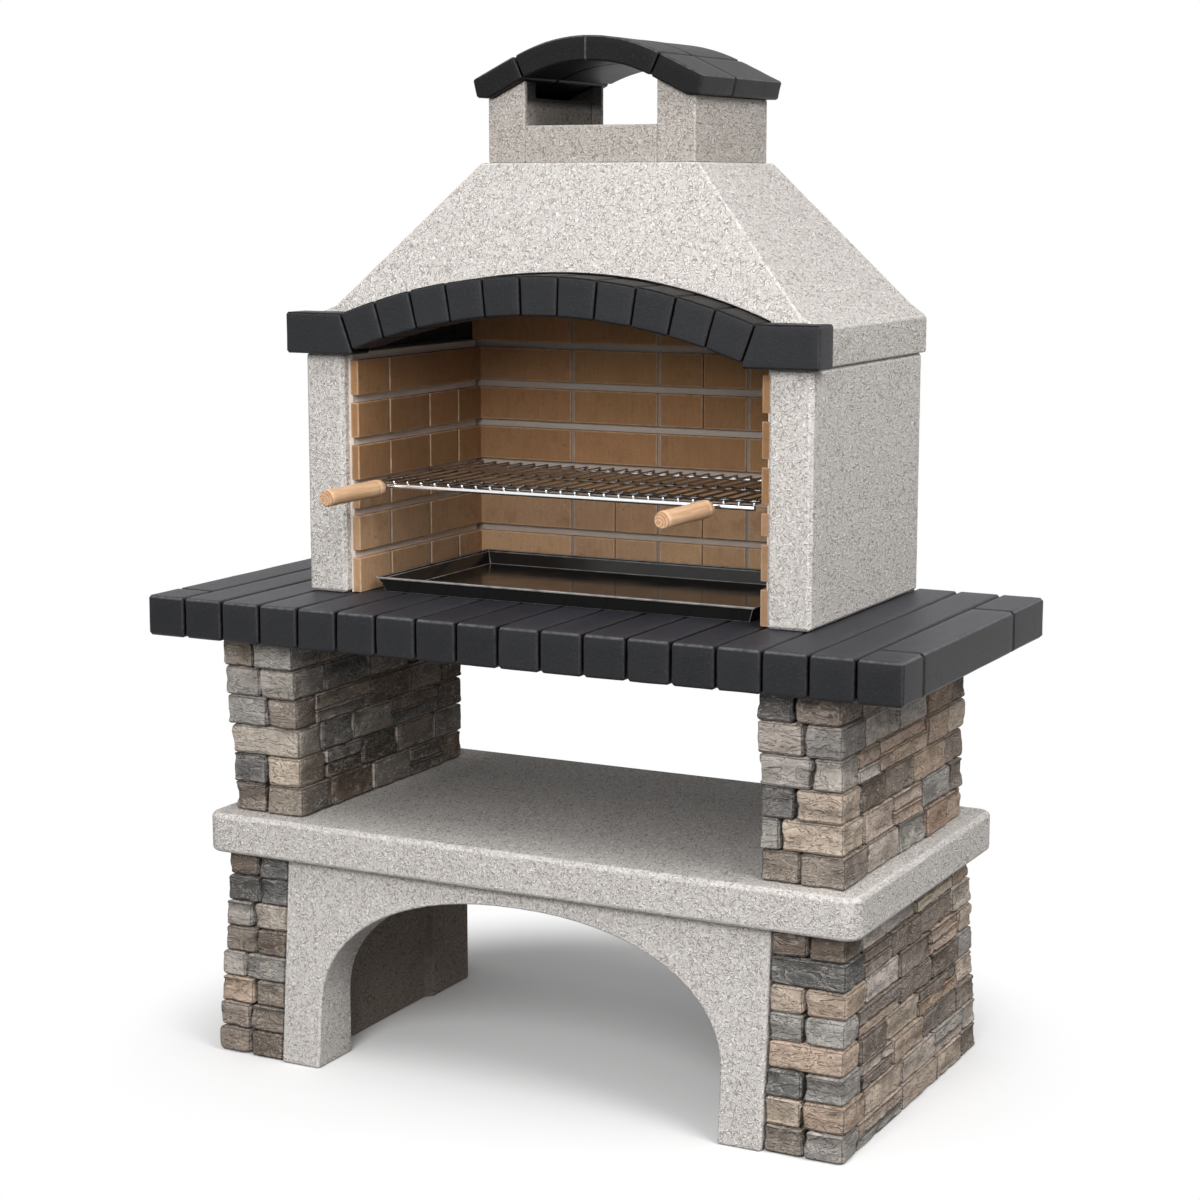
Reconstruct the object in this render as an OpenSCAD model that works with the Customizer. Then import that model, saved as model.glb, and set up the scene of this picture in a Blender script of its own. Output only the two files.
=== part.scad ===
// Outdoor masonry barbecue: arched base, wood shelf, stone walls, plank worktop,
// brick-lined firebox, arched lintel, hood, chimney and cap, with a grill and a tray
// that both slide out to the front. Millimetres, +Z up, front towards -Y.

/* [Base] */
// Height of the base, from the ground to the shelf
base_h = 390; // [320:5:460]
// Number of stone courses in the base
base_courses = 8; // [6:1:10]
// Width of the front arch panel, between the two stone walls
arch_panel_w = 986; // [900:2:1060]
// Thickness of each base stone wall where it stands on the ground
base_wall_t = 153; // [130:1:180]
// Amount that each outer side leans out at the foot
side_lean = 14; // [0:1:30]
// Amount that the front and the back lean out at the foot
front_lean = 33; // [0:1:50]
// Thickness of the arch panel at the ground
arch_panel_t = 115; // [90:1:150]
// Clear span of the base arch
arch_span = 820; // [700:2:880]
// Height at which the base arch springs
arch_spring = 120; // [60:1:150]
// Height of the panel over the crown of the base arch
arch_crown_h = 33; // [25:1:60]
// Fullness of the arch's haunches, 2 for an ellipse
arch_fullness = 2.2; // [2:0.05:2.6]
// Thickness of the concrete leaf on the inside of each base wall
leaf_t = 38; // [25:1:60]
// Amount that the pilaster stands proud of the leaf
pilaster_proud = 13; // [5:1:25]
// Length of the pilaster, front to back
pilaster_l = 140; // [80:1:200]
// Distance from the back of the base wall to the back of the leaf
leaf_back_inset = 90; // [40:1:150]

/* [Shelf] */
// Width of the shelf
shelf_w = 1320; // [1260:5:1400]
// Depth of the shelf
shelf_d = 705; // [640:5:760]
// Thickness of the shelf
shelf_t = 76; // [60:1:95]
// Radius of the shelf's corners, seen from above
shelf_corner_r = 30; // [20:1:60]
// Bevel along the shelf's edges
shelf_edge = 6; // [4:1:14]
// Distance that the shelf reaches past the back of the worktop
shelf_past_worktop = 10; // [0:1:40]
// Overhang of the shelf over the top of the base at each side
shelf_over_side = 28; // [15:1:40]
// Overhang of the shelf over the top of the base at the front
shelf_over_front = 26; // [10:1:50]
// Overhang of the shelf over the top of the base at the back
shelf_over_back = 43; // [10:1:60]

/* [Upper walls] */
// Height of the walls between the shelf and the worktop
upper_h = 340; // [280:5:400]
// Number of stone courses in the upper walls
upper_courses = 6; // [4:1:8]
// Thickness of each upper wall
upper_wall_t = 160; // [120:1:190]
// Distance from the shelf's side to the upper wall
upper_inset_side = 35; // [20:1:60]
// Distance from the shelf's front to the foot of the upper wall
upper_inset_front = 39; // [20:1:70]
// Distance from the shelf's back to the foot of the upper wall
upper_inset_back = 76; // [40:1:110]
// Amount that the upper walls corbel out to the front at the top
upper_front_lean = 32; // [0:1:50]
// Amount that the upper walls corbel out to the back at the top
upper_back_lean = 16; // [0:1:40]

/* [Stones] */
// Bevel along the edges of the stones
stone_bevel = 4; // [2:0.5:7]
// Dry joint between neighbouring stones, planks and wedges
dry_joint = 0.4; // [0.2:0.1:0.8]
// Length of the shortest stone at the ends of a wall
quoin_min = 70; // [60:1:90]
// Extra length of the longest stone at the ends of a wall
quoin_extra = 45; // [10:1:60]
// Greatest amount that a stone stands back from the wall's face
stone_relief = 4; // [0:0.5:8]
// Share of the stones between a wall's ends that lie as a pair of thin ones
thin_share = 0.35; // [0:0.05:0.6]

/* [Worktop] */
// Width of the worktop
worktop_w = 1500; // [1400:10:1600]
// Depth of the worktop
worktop_d = 740; // [700:5:800]
// Thickness of the worktop
worktop_t = 76; // [60:1:95]
// Number of planks across the worktop
plank_count = 18; // [14:1:22]
// Bevel along the edges of the planks
plank_bevel = 6; // [3:0.5:10]
// Length of the front block of each outermost plank
corner_block_l = 96; // [60:1:140]
// Length of the back block of each outermost plank
rear_block_l = 178; // [100:1:220]

/* [Firebox] */
// Width of the firebox over its side walls
firebox_w = 1020; // [940:5:1080]
// Depth of the firebox over its side walls
firebox_d = 527; // [460:1:540]
// Distance from the worktop's front edge to the firebox
firebox_setback = 186; // [170:1:240]
// Thickness of the concrete side walls
firebox_wall_t = 82; // [60:1:100]
// Thickness of the concrete back wall
firebox_back_t = 32; // [25:1:50]
// Bevel along the edges of the concrete walls
wall_bevel = 6; // [3:0.5:12]
// Distance from the front of the side walls to the brick lining
lining_setback = 20; // [10:1:40]
// Thickness of the brick lining
lining_t = 20; // [16:1:30]
// Thickness of the mortar bed behind the bricks
mortar_bed = 4; // [2:0.5:6]
// Depth of the open joints between the bricks
joint_depth = 12; // [9:0.5:13]
// Height of a full brick
brick_h = 65; // [55:1:75]
// Height of the short bricks under the grill
short_brick_h = 40; // [30:1:55]
// Height of the level joints, in which the grill slides
brick_joint = 14; // [12:0.5:18]
// Width of the upright joints
upright_joint = 6; // [3:0.5:10]
// Level joint between the top bricks and the lintel
top_joint = 13; // [8:1:20]
// Length of a full brick across the back
back_brick_l = 184; // [140:1:240]
// Place of the middle upright joint of the back, to the left of the centre
back_joint_offset = 10; // [0:1:60]
// Width of the tight joint between two half bricks
half_joint = 2; // [1:0.5:4]

/* [Lintel] */
// Width of the lintel over its end blocks
lintel_w = 1066; // [1040:2:1140]
// Distance that the lintel stands in front of the side walls
lintel_proud = 31; // [10:1:50]
// Depth of the end blocks, from the lintel's face to the hood
lintel_reveal = 65; // [45:1:80]
// Radius of the underside of the lintel's arch
lintel_r = 1105; // [1000:5:1300]
// Thickness of the ring of wedges
ring_t = 73; // [60:1:85]
// Half of the angle that the wedges fill
ring_half_angle = 20.6; // [18.5:0.1:21.5]
// Number of wedges
wedge_count = 11; // [7:2:15]
// Height of the lintel's end blocks
end_block_h = 76; // [65:1:85]
// Bevel along the edges of the lintel's stones
lintel_bevel = 5; // [2:0.5:8]
// Distance from the back of the wedges to the inner face of the hood's front
wedge_back_clear = 5; // [3:1:20]

/* [Hood] */
// Width of the hood's skirt
hood_w = 1030; // [1000:2:1060]
// Height of the hood's skirt
skirt_h = 67; // [50:1:80]
// Bevel on top of the skirt
skirt_bevel = 22; // [10:1:35]
// Distance that the skirt reaches behind the firebox
hood_back_over = 9; // [0:1:20]
// Height of the hood, skirt included
hood_h = 347; // [300:1:400]
// Thickness of the hood's walls
hood_t = 40; // [30:1:44]
// Ledge around the chimney on top of the hood
hood_ledge = 10; // [4:1:20]

/* [Chimney] */
// Width of the chimney
chimney_w = 420; // [360:2:480]
// Depth of the chimney
chimney_d = 316; // [280:2:360]
// Distance from the hood's front to the chimney's front
chimney_setback = 133; // [100:1:160]
// Width of the chimney's window
window_w = 268; // [220:2:300]
// Height of the sills in the chimney's windows
sill_h = 67; // [50:1:90]
// Thickness of the sills and of the jambs, front to back
sill_t = 45; // [30:1:60]
// Width of the upright groove beside each rear jamb, inside the chimney
jamb_groove_w = 7; // [4:1:12]
// Depth of that groove
jamb_groove_d = 10; // [5:1:20]

/* [Cap] */
// Height of the chimney's side walls at their outer edge
chimney_side_h = 117; // [100:1:150]
// Radius of the top of the cap
cap_r = 340; // [320:5:400]
// Thickness of the cap's tiles
cap_t = 45; // [35:1:55]
// Half of the angle that the two middle tiles fill
cap_half_angle = 25.6; // [22:0.1:28]
// Width of the level seat of the cap's end tiles on the chimney's sides
cap_seat_w = 12; // [8:1:20]
// Amount that the outer edge of the cap's end tiles slants in to its foot
cap_edge_slant = 8; // [2:1:12]
// Bevel along the edges of the cap's tiles
cap_bevel = 4; // [2:0.5:6]
// Overhang of the cap past the chimney's sides
cap_over_side = 24; // [12:1:40]
// Overhang of the cap past the chimney's front
cap_over_front = 18; // [8:1:30]
// Overhang of the cap past the chimney's back
cap_over_back = 16; // [8:1:30]
// Depth of the front row of tiles
cap_front_row = 141; // [100:1:200]

/* [Grill] */
// Diameter of the grill's front bar
front_bar_d = 10; // [8:0.5:12]
// Diameter of the grill's cross bars, which slide in the brick joints
cross_bar_d = 8; // [6:0.5:9]
// Diameter of the grill's rods
rod_d = 5; // [4:0.5:6]
// Number of rods
rod_count = 27; // [15:1:31]
// Distance from the lining to the front bar's ends
front_bar_clear = 24; // [8:1:40]
// Amount that the cross bars reach into the brick joints
runner_reach = 9; // [5:0.5:10]
// Distance from the lining's front end to the front bar
grill_inset = 32; // [20:1:80]
// Distance from the front bar to the first cross bar
first_cross_bar = 80; // [20:1:120]
// Distance from the back lining to the rear cross bar
grill_rear_clear = 40; // [20:1:80]
// Distance from the left end of the front bar to the left handle
left_handle_inset = 26; // [12:1:120]
// Distance from the right end of the front bar to the right handle
right_handle_inset = 74; // [12:1:120]
// Diameter of the wooden grips
grip_d = 33; // [24:0.5:36]
// Length of the wooden grips
grip_l = 182; // [120:1:190]
// Length of bare tang between the front bar and the grip
tang_bare = 34; // [20:1:60]
// Diameter of the tangs
tang_d = 8; // [6:0.5:9]
// Diameter of the two prongs that join each tang to the front bar
prong_d = 5; // [4:0.5:6]
// Distance between the prongs at the front bar
prong_spread = 20; // [12:1:28]
// Depth of the tang inside the grip
tang_in_grip = 90; // [40:1:110]

/* [Tray] */
// Height of the ember tray
tray_h = 29; // [24:1:50]
// Clearance between the tray and the side linings
tray_side_clear = 20; // [4:1:30]
// Distance from the lining's front end to the tray's front
tray_inset = 24; // [5:1:60]
// Clearance between the tray and the back lining
tray_rear_clear = 14; // [5:1:40]
// Amount that the tray's walls flare out from foot to rim
tray_flare = 11; // [4:1:18]
// Thickness of the tray's sheet
tray_sheet = 2; // [1:0.5:3]
// Thickness of the tray's folded rim
tray_rim = 4; // [3:0.5:6]

/* [Hidden] */
$fn = 96;
// Sides on the curve of the base arch
arch_steps = 36;
// Gap where curved faces meet
curve_gap = 0.3;
// Reach of the cutting bodies past what they cut
past = 5;

concrete = "#c9c3bc";
charcoal = "#3d3d40";
clay = "#b08462";
mortar = "#82796f";
steel = "#b9bdc2";
dark_steel = "#3a3836";
beech = "#d9ae80";
stone_tones = ["#9c8f80", "#8b857c", "#b39a7d", "#7d7c7a", "#a99680", "#5f6266"];

// Heights of the levels
z_shelf = base_h;
z_upper = z_shelf + shelf_t;
z_worktop = z_upper + upper_h;
z_firebox = z_worktop + worktop_t;
short_row = 2;
row_heights = [brick_h, brick_h, short_brick_h, brick_h, brick_h, brick_h];
function row_z(k) = k == 0 ? 0 : row_z(k - 1) + row_heights[k - 1] + brick_joint;
firebox_h = row_z(5) + brick_h + top_joint;
z_lintel = z_firebox + firebox_h;
z_slope = z_lintel + skirt_h + skirt_bevel;
z_chimney = z_lintel + hood_h;
// Rise of the base arch above its springing
arch_rise = base_h - arch_spring - arch_crown_h;

// Places from front to back, with the whole object centred on the origin
y_front = -(worktop_d + shelf_past_worktop) / 2;
y_worktop_back = y_front + worktop_d;
y_shelf_back = y_worktop_back + shelf_past_worktop;
y_shelf_front = y_shelf_back - shelf_d;
y_base_front = y_shelf_front + shelf_over_front;
y_base_back = y_shelf_back - shelf_over_back;
y_upper_front = y_shelf_front + upper_inset_front;
y_upper_back = y_shelf_back - upper_inset_back;
y_firebox = y_front + firebox_setback;
y_firebox_back = y_firebox + firebox_d;
y_back_wall = y_firebox_back - firebox_back_t;
y_lining_back = y_back_wall - lining_t;
y_lining_front = y_firebox + lining_setback;
y_lintel = y_firebox - lintel_proud;
y_hood = y_lintel + lintel_reveal;
y_hood_back = y_firebox_back + hood_back_over;
y_chimney = y_hood + chimney_setback;
y_chimney_back = y_chimney + chimney_d;

// Half widths
x_panel = arch_panel_w / 2;
x_base_top = shelf_w / 2 - shelf_over_side;
x_upper = shelf_w / 2 - upper_inset_side;
x_firebox = firebox_w / 2;
x_wall_in = x_firebox - firebox_wall_t;
x_lining = x_wall_in - lining_t;
x_window = window_w / 2;
x_chimney = chimney_w / 2;

// A repeatable scatter between 0 and 1
function scatter(k) = k * 0.6180339 - floor(k * 0.6180339);

// A rectangle with bevelled corners
module bevelled_rect(w, h, c) {
  polygon([[c, 0], [w - c, 0], [w, c], [w, h - c], [w - c, h], [c, h], [0, h - c], [0, c]]);
}

// A block between two corners with every edge bevelled
module bevelled_block(a, b, c) {
  s = b - a;
  translate(a) intersection() {
    linear_extrude(s.z) bevelled_rect(s.x, s.y, c);
    translate([0, s.y, 0]) rotate([90, 0, 0]) linear_extrude(s.y) bevelled_rect(s.x, s.z, c);
    rotate([90, 0, 90]) linear_extrude(s.x) bevelled_rect(s.y, s.z, c);
  }
}

// A plain block between two corners
module block(a, b) {
  translate(a) cube(b - a);
}

// An outline in X and Z, run from one Y to another
module along_y(y0, y1) {
  translate([0, y1, 0]) rotate([90, 0, 0]) linear_extrude(y1 - y0) children();
}

// An outline in Y and Z, run from one X to another
module along_x(x0, x1) {
  translate([x0, 0, 0]) rotate([90, 0, 90]) linear_extrude(x1 - x0) children();
}

// A convex outline in X and Z, run from one Y to another, with every edge bevelled
module bevelled_along_y(y0, y1, c) {
  hull() {
    along_y(y0 + c, y1 - c) children();
    along_y(y0, y1) offset(delta = -c) children();
  }
}

// A point in X and Z on the radius at an angle from the upright, moved off it to the side
function ring_point(r, a, off) = [r * sin(a) + off * cos(a), r * cos(a) - off * sin(a)];

// The right-hand copy as drawn, or its mirror image on the left
module on_side(side) {
  mirror([side < 0 ? 1 : 0, 0, 0]) children();
}

// One course of a stone wall: stones at both ends, split or whole, and a run between them
module stone_course(x0, x1, y0, y1, z0, z1, seed, split) {
  lead = quoin_min + quoin_extra * scatter(seed);
  tail = quoin_min + quoin_extra * scatter(seed + 7);
  run_front = y0 + lead;
  run = y1 - tail - run_front;
  cuts = [0, 0.22 + 0.2 * scatter(seed + 3), 0.56 + 0.2 * scatter(seed + 11), 1];
  xs = split > 0 ? [x0, x0 + split * (x1 - x0), x1] : [x0, x1];
  tail_split = x0 + (0.4 + 0.2 * scatter(seed + 5)) * (x1 - x0);
  for (i = [0 : len(xs) - 2])
    one_stone(xs[i], xs[i + 1], y0, run_front, z0, z1, seed + i, x0, x1, -1);
  for (i = [0 : len(cuts) - 2]) {
    thin = scatter(seed * 2 + 11 * i) < thin_share;
    z_bed = z0 + (z1 - z0) * (thin ? 0.42 + 0.16 * scatter(seed + i) : 1);
    stone_y0 = run_front + cuts[i] * run;
    stone_y1 = run_front + cuts[i + 1] * run;
    one_stone(x0, x1, stone_y0, stone_y1, z0, z_bed, seed + 2 + i, x0, x1, 0);
    if (thin)
      one_stone(x0, x1, stone_y0, stone_y1, z_bed + dry_joint, z1, seed + 9 + i, x0, x1, 0);
  }
  one_stone(x0, tail_split, run_front + run, y1, z0, z1, seed + 6, x0, x1, 1);
  one_stone(tail_split, x1, run_front + run, y1, z0, z1, seed + 8, x0, x1, 1);
}

// One stone, which stands back a little from the wall's outer faces
module one_stone(x0, x1, y0, y1, z0, z1, seed, wall_x0, wall_x1, end) {
  back = stone_relief * scatter(seed + 1);
  end_back = stone_relief * scatter(seed + 4);
  a = [x0 + (x0 > wall_x0 ? dry_joint / 2 : 0), y0 + (end < 0 ? end_back : dry_joint / 2), z0];
  b = [x1 - (x1 < wall_x1 ? dry_joint / 2 : back), y1 - (end > 0 ? end_back : dry_joint / 2), z1];
  color(stone_tones[floor(len(stone_tones) * scatter(seed * 3 + 2))])
    bevelled_block(a, b, stone_bevel);
}

// Share of the width taken by the inner front stone of each course, 0 for one whole stone
base_splits_left = [0.5, 0.52, 0.48, 0.64, 0.48, 0.56, 0.46, 0.5];
base_splits_right = [0.5, 0.46, 0.46, 0, 0.46, 0.46, 0, 0.48];
upper_splits_left = [0.52, 0.5, 0, 0.42, 0.5, 0.56];
upper_splits_right = [0.46, 0.24, 0.42, 0.62, 0.54, 0.44];

// Place of a leaning face in the middle of course k of n, from its foot to its top
function leaned(foot, top, k, n) = foot + (top - foot) * (k + 0.5) / n;

module base_stones(side, splits, seed) {
  n = base_courses;
  pitch = base_h / n;
  on_side(side)
    for (k = [0 : n - 1])
      stone_course(x_panel, leaned(x_panel + base_wall_t, x_base_top, k, n),
                   leaned(y_base_front - front_lean, y_base_front, k, n),
                   leaned(y_base_back + front_lean, y_base_back, k, n),
                   k * pitch + (k > 0 ? dry_joint : 0), (k + 1) * pitch,
                   seed + 19 * k, splits[k % len(splits)]);
}

module base_stones_left() { base_stones(-1, base_splits_left, 1); }

module base_stones_right() { base_stones(1, base_splits_right, 5); }

module base_leaf(side) {
  x0 = x_panel - leaf_t;
  y0 = y_base_front - front_lean + arch_panel_t;
  y1 = y_base_back + front_lean - leaf_back_inset;
  color(concrete) on_side(side) linear_extrude(base_h)
    polygon([[x0, y0], [x_panel, y0], [x_panel, y1], [x0 - pilaster_proud, y1],
             [x0 - pilaster_proud, y1 - pilaster_l], [x0, y1 - pilaster_l - pilaster_proud]]);
}

module base_leaf_left() { base_leaf(-1); }

module base_leaf_right() { base_leaf(1); }

// A full half oval over the clear span, closed at the ground
function oval(v) = sign(v) * pow(abs(v), 2 / arch_fullness);
function arch_outline() = concat(
  [[-arch_span / 2, -past]],
  [for (i = [0 : arch_steps]) let (a = 180 - 180 * i / arch_steps)
    [arch_span / 2 * oval(cos(a)), arch_spring + arch_rise * oval(sin(a))]],
  [[arch_span / 2, -past]]);

module front_arch_panel() {
  y0 = y_base_front - front_lean;
  y1 = y0 + arch_panel_t;
  color(concrete) difference() {
    along_x(-x_panel, x_panel)
      polygon([[y0, 0], [y1, 0], [y1, base_h], [y_base_front, base_h]]);
    along_y(y0 - past, y1 + past) polygon(arch_outline());
  }
}

module shelf() {
  r = shelf_corner_r;
  e = shelf_edge;
  color(concrete) translate([0, (y_shelf_front + y_shelf_back) / 2, z_shelf]) hull()
    for (x = [-1, 1], y = [-1, 1])
      translate([x * (shelf_w / 2 - r), y * (shelf_d / 2 - r), 0]) {
        cylinder(r = r - e, h = shelf_t, $fn = 32);
        translate([0, 0, e]) cylinder(r = r, h = shelf_t - 2 * e, $fn = 32);
      }
}

module upper_stones(side, splits, seed) {
  n = upper_courses;
  pitch = upper_h / n;
  on_side(side)
    for (k = [0 : n - 1])
      stone_course(x_upper - upper_wall_t, x_upper,
                   leaned(y_upper_front, y_upper_front - upper_front_lean, k, n),
                   leaned(y_upper_back, y_upper_back + upper_back_lean, k, n),
                   z_upper + k * pitch + (k > 0 ? dry_joint : 0), z_upper + (k + 1) * pitch,
                   seed + 19 * k, splits[k % len(splits)]);
}

module upper_stones_left() { upper_stones(-1, upper_splits_left, 3); }

module upper_stones_right() { upper_stones(1, upper_splits_right, 8); }

plank_w = worktop_w / plank_count;

module plank(k, y0, y1) {
  x0 = k * plank_w - worktop_w / 2;
  bevelled_block([x0 + (k > 0 ? dry_joint / 2 : 0), y0, z_worktop],
                 [x0 + plank_w - (k < plank_count - 1 ? dry_joint / 2 : 0), y1, z_firebox],
                 plank_bevel);
}

module worktop_planks() {
  color(charcoal) for (k = [1 : plank_count - 2]) plank(k, y_front, y_worktop_back);
}

// The outermost plank of one side, in three blocks
module worktop_blocks(k) {
  cuts = [y_front, y_front + corner_block_l, y_worktop_back - rear_block_l, y_worktop_back];
  color(charcoal) for (i = [0 : 2])
    plank(k, cuts[i] + (i > 0 ? dry_joint : 0), cuts[i + 1]);
}

module worktop_blocks_left() { worktop_blocks(0); }

module worktop_blocks_right() { worktop_blocks(plank_count - 1); }

module firebox_wall(side) {
  color(concrete) on_side(side)
    bevelled_block([x_wall_in, y_firebox, z_firebox], [x_firebox, y_firebox_back, z_lintel],
                   wall_bevel);
}

module firebox_wall_left() { firebox_wall(-1); }

module firebox_wall_right() { firebox_wall(1); }

module firebox_back_wall() {
  color(concrete)
    block([-x_wall_in, y_back_wall, z_firebox], [x_wall_in, y_firebox_back, z_lintel]);
}

// Upright joints of a side lining, as shares of its length
side_joints = [0.24, 0.56, 0.80];
// How many of them each row has, from the foot up
side_joint_counts = [3, 2, 3, 3, 3, 1];
side_length = y_lining_back - y_lining_front;
side_rows = len(row_heights);
// The back lining has one more row, which stands up inside the hood
back_rows = side_rows + 1;

function side_cuts(k) =
  concat([0], [for (i = [0 : side_joint_counts[k] - 1]) side_joints[i]], [1]);
function lining_z(k) = k < side_rows ? z_firebox + row_z(k) : z_lintel;
function lining_row_h(k) = k < side_rows ? row_heights[k] : brick_h;

// The places of the side bricks: one block for each, from face to mortar bed
module side_bricks(face_x, bed_x) {
  for (k = [0 : side_rows - 1]) {
    cuts = side_cuts(k);
    for (i = [0 : len(cuts) - 2]) {
      y0 = y_lining_front + cuts[i] * side_length + (i > 0 ? upright_joint / 2 : 0);
      y1 = y_lining_front + cuts[i + 1] * side_length
           - (i < len(cuts) - 2 ? upright_joint / 2 : 0);
      block([face_x, y0, lining_z(k)], [bed_x, y1, lining_z(k) + lining_row_h(k)]);
    }
  }
}

module mortar_side(side) {
  joint_x = x_lining + joint_depth;
  color(mortar) on_side(side) difference() {
    block([joint_x, y_lining_front, z_firebox], [x_wall_in, y_lining_back, z_lintel]);
    side_bricks(joint_x - past, x_wall_in - mortar_bed);
  }
}

module mortar_left() { mortar_side(-1); }

module mortar_right() { mortar_side(1); }

module bricks_side(side) {
  color(clay) on_side(side) side_bricks(x_lining, x_wall_in - mortar_bed);
}

module bricks_left() { bricks_side(-1); }

module bricks_right() { bricks_side(1); }

// Upright joints of the back, a brick apart; the end bricks are cut to the side walls, and
// none is shorter than half a brick
back_pitch = back_brick_l + upright_joint;
back_first = -floor((x_wall_in - back_joint_offset - back_brick_l / 2) / back_pitch);
back_last = floor((x_wall_in + back_joint_offset - back_brick_l / 2) / back_pitch);
back_cuts = concat([-x_wall_in],
                   [for (i = [back_first : back_last]) i * back_pitch - back_joint_offset],
                   [x_wall_in]);
// The bricks of each row, from the foot up, that lie as two halves
back_halves = [[1, 2], [1, 2], [], [], [2], [2], []];

// The places of the back bricks, between the two side walls
module back_bricks_blocks(face_y, bed_y) {
  last = len(back_cuts) - 2;
  for (k = [0 : back_rows - 1], i = [0 : last]) {
    x0 = back_cuts[i] + (i > 0 ? upright_joint / 2 : 0);
    x1 = back_cuts[i + 1] - (i < last ? upright_joint / 2 : 0);
    split = len([for (h = back_halves[k]) if (h == i) h]) > 0;
    mid = (x0 + x1) / 2;
    xs = split ? [[x0, mid - half_joint / 2], [mid + half_joint / 2, x1]] : [[x0, x1]];
    for (x = xs)
      block([x[0], face_y, lining_z(k)], [x[1], bed_y, lining_z(k) + lining_row_h(k)]);
  }
}

module mortar_back() {
  joint_y = y_lining_back + joint_depth;
  color(mortar) difference() {
    block([-x_wall_in, joint_y, z_firebox], [x_wall_in, y_back_wall, z_lintel + brick_h]);
    back_bricks_blocks(joint_y - past, y_back_wall - mortar_bed);
  }
}

module bricks_back() {
  color(clay) back_bricks_blocks(y_lining_back, y_back_wall - mortar_bed);
}

// The lintel's arch: its centre, its outer radius and the height of its crown
ring_r = lintel_r + ring_t;
z_ring = z_lintel + end_block_h - ring_r * cos(ring_half_angle);
ring_x = ring_r * sin(ring_half_angle);

module lintel_block(side) {
  t = tan(ring_half_angle);
  color(charcoal) on_side(side) bevelled_along_y(y_lintel, y_hood, lintel_bevel)
    polygon([[ring_x - end_block_h * t + dry_joint, z_lintel], [lintel_w / 2, z_lintel],
             [lintel_w / 2, z_lintel + end_block_h],
             [ring_x + dry_joint, z_lintel + end_block_h]]);
}

module lintel_block_left() { lintel_block(-1); }

module lintel_block_right() { lintel_block(1); }

module lintel_wedges() {
  pitch = 2 * ring_half_angle / wedge_count;
  g = dry_joint / 2;
  color(charcoal) translate([0, 0, z_ring]) for (k = [0 : wedge_count - 1]) {
    a0 = -ring_half_angle + k * pitch;
    a1 = a0 + pitch;
    bevelled_along_y(y_lintel, y_hood + hood_t - wedge_back_clear, lintel_bevel)
      polygon([ring_point(lintel_r, a0, g), ring_point(ring_r, a0, g),
               ring_point(ring_r, a1, -g), ring_point(lintel_r, a1, -g)]);
  }
}

// Half widths of the hood at the top of its slope, outside and inside
x_hood = hood_w / 2;
x_hood_top = x_chimney + hood_ledge;
y_hood_top = y_chimney - hood_ledge;
y_hood_top_back = y_chimney_back + hood_ledge;
x_flue = x_window;
y_flue = y_chimney + sill_t;
y_flue_back = y_chimney_back - sill_t;

module hood_outside() {
  z_skirt = z_lintel + skirt_h;
  intersection() {
    along_y(y_hood, y_hood_back)
      polygon([[-x_hood, z_lintel], [x_hood, z_lintel], [x_hood, z_skirt],
               [x_hood - skirt_bevel, z_slope], [x_hood_top, z_chimney],
               [-x_hood_top, z_chimney], [-x_hood + skirt_bevel, z_slope], [-x_hood, z_skirt]]);
    along_x(-x_hood, x_hood)
      polygon([[y_hood, z_lintel], [y_hood_back, z_lintel], [y_hood_back, z_skirt],
               [y_hood_back - skirt_bevel, z_slope], [y_hood_top_back, z_chimney],
               [y_hood_top, z_chimney], [y_hood, z_skirt]]);
  }
}

module hood_inside() {
  x0 = x_hood - hood_t;
  y0 = y_hood + hood_t;
  y1 = y_hood_back - hood_t;
  z_skirt = z_lintel + skirt_h;
  intersection() {
    along_y(y0, y1)
      polygon([[-x0, z_lintel - past], [x0, z_lintel - past], [x0, z_skirt],
               [x_flue, z_chimney - hood_t], [x_flue, z_chimney + past],
               [-x_flue, z_chimney + past], [-x_flue, z_chimney - hood_t], [-x0, z_skirt]]);
    along_x(-x0, x0)
      polygon([[y0, z_lintel - past], [y1, z_lintel - past], [y1, z_skirt],
               [y_flue_back, z_chimney - hood_t], [y_flue_back, z_chimney + past],
               [y_flue, z_chimney + past], [y_flue, z_chimney - hood_t], [y0, z_skirt]]);
  }
}

// The opening for the ring of wedges in the hood's front wall
module hood_arch_cut() {
  x_cut = ring_x + curve_gap;
  y1 = y_hood_top;
  intersection() {
    translate([0, y1, z_ring]) rotate([90, 0, 0])
      cylinder(r = ring_r + curve_gap, h = y1 - y_hood + past, $fn = 200);
    block([-x_cut, y_hood - past, z_lintel - past], [x_cut, y1, z_chimney]);
  }
}

module hood() {
  color(concrete) difference() {
    hood_outside();
    hood_inside();
    hood_arch_cut();
  }
}

// The cap's centre of curvature, its inner radius and the two ends of its arc
cap_in_r = cap_r - cap_t;
cap_tan = tan(cap_half_angle);
cap_x = cap_r * sin(cap_half_angle);
cap_in_x = cap_in_r * sin(cap_half_angle);
z_cap_foot = z_chimney + chimney_side_h;
cap_foot_x = x_chimney - cap_seat_w;
z_cap = z_cap_foot + (cap_foot_x - cap_in_x) * cap_tan - cap_in_r * cos(cap_half_angle);
cap_edge_x = x_chimney + cap_over_side;
y_cap = y_chimney - cap_over_front;
y_cap_back = y_chimney_back + cap_over_back;

// Height of the underside of an end tile at a distance from the middle
function under_cap(x) = max(z_cap_foot, z_cap_foot + (cap_foot_x - x) * cap_tan);

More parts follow.
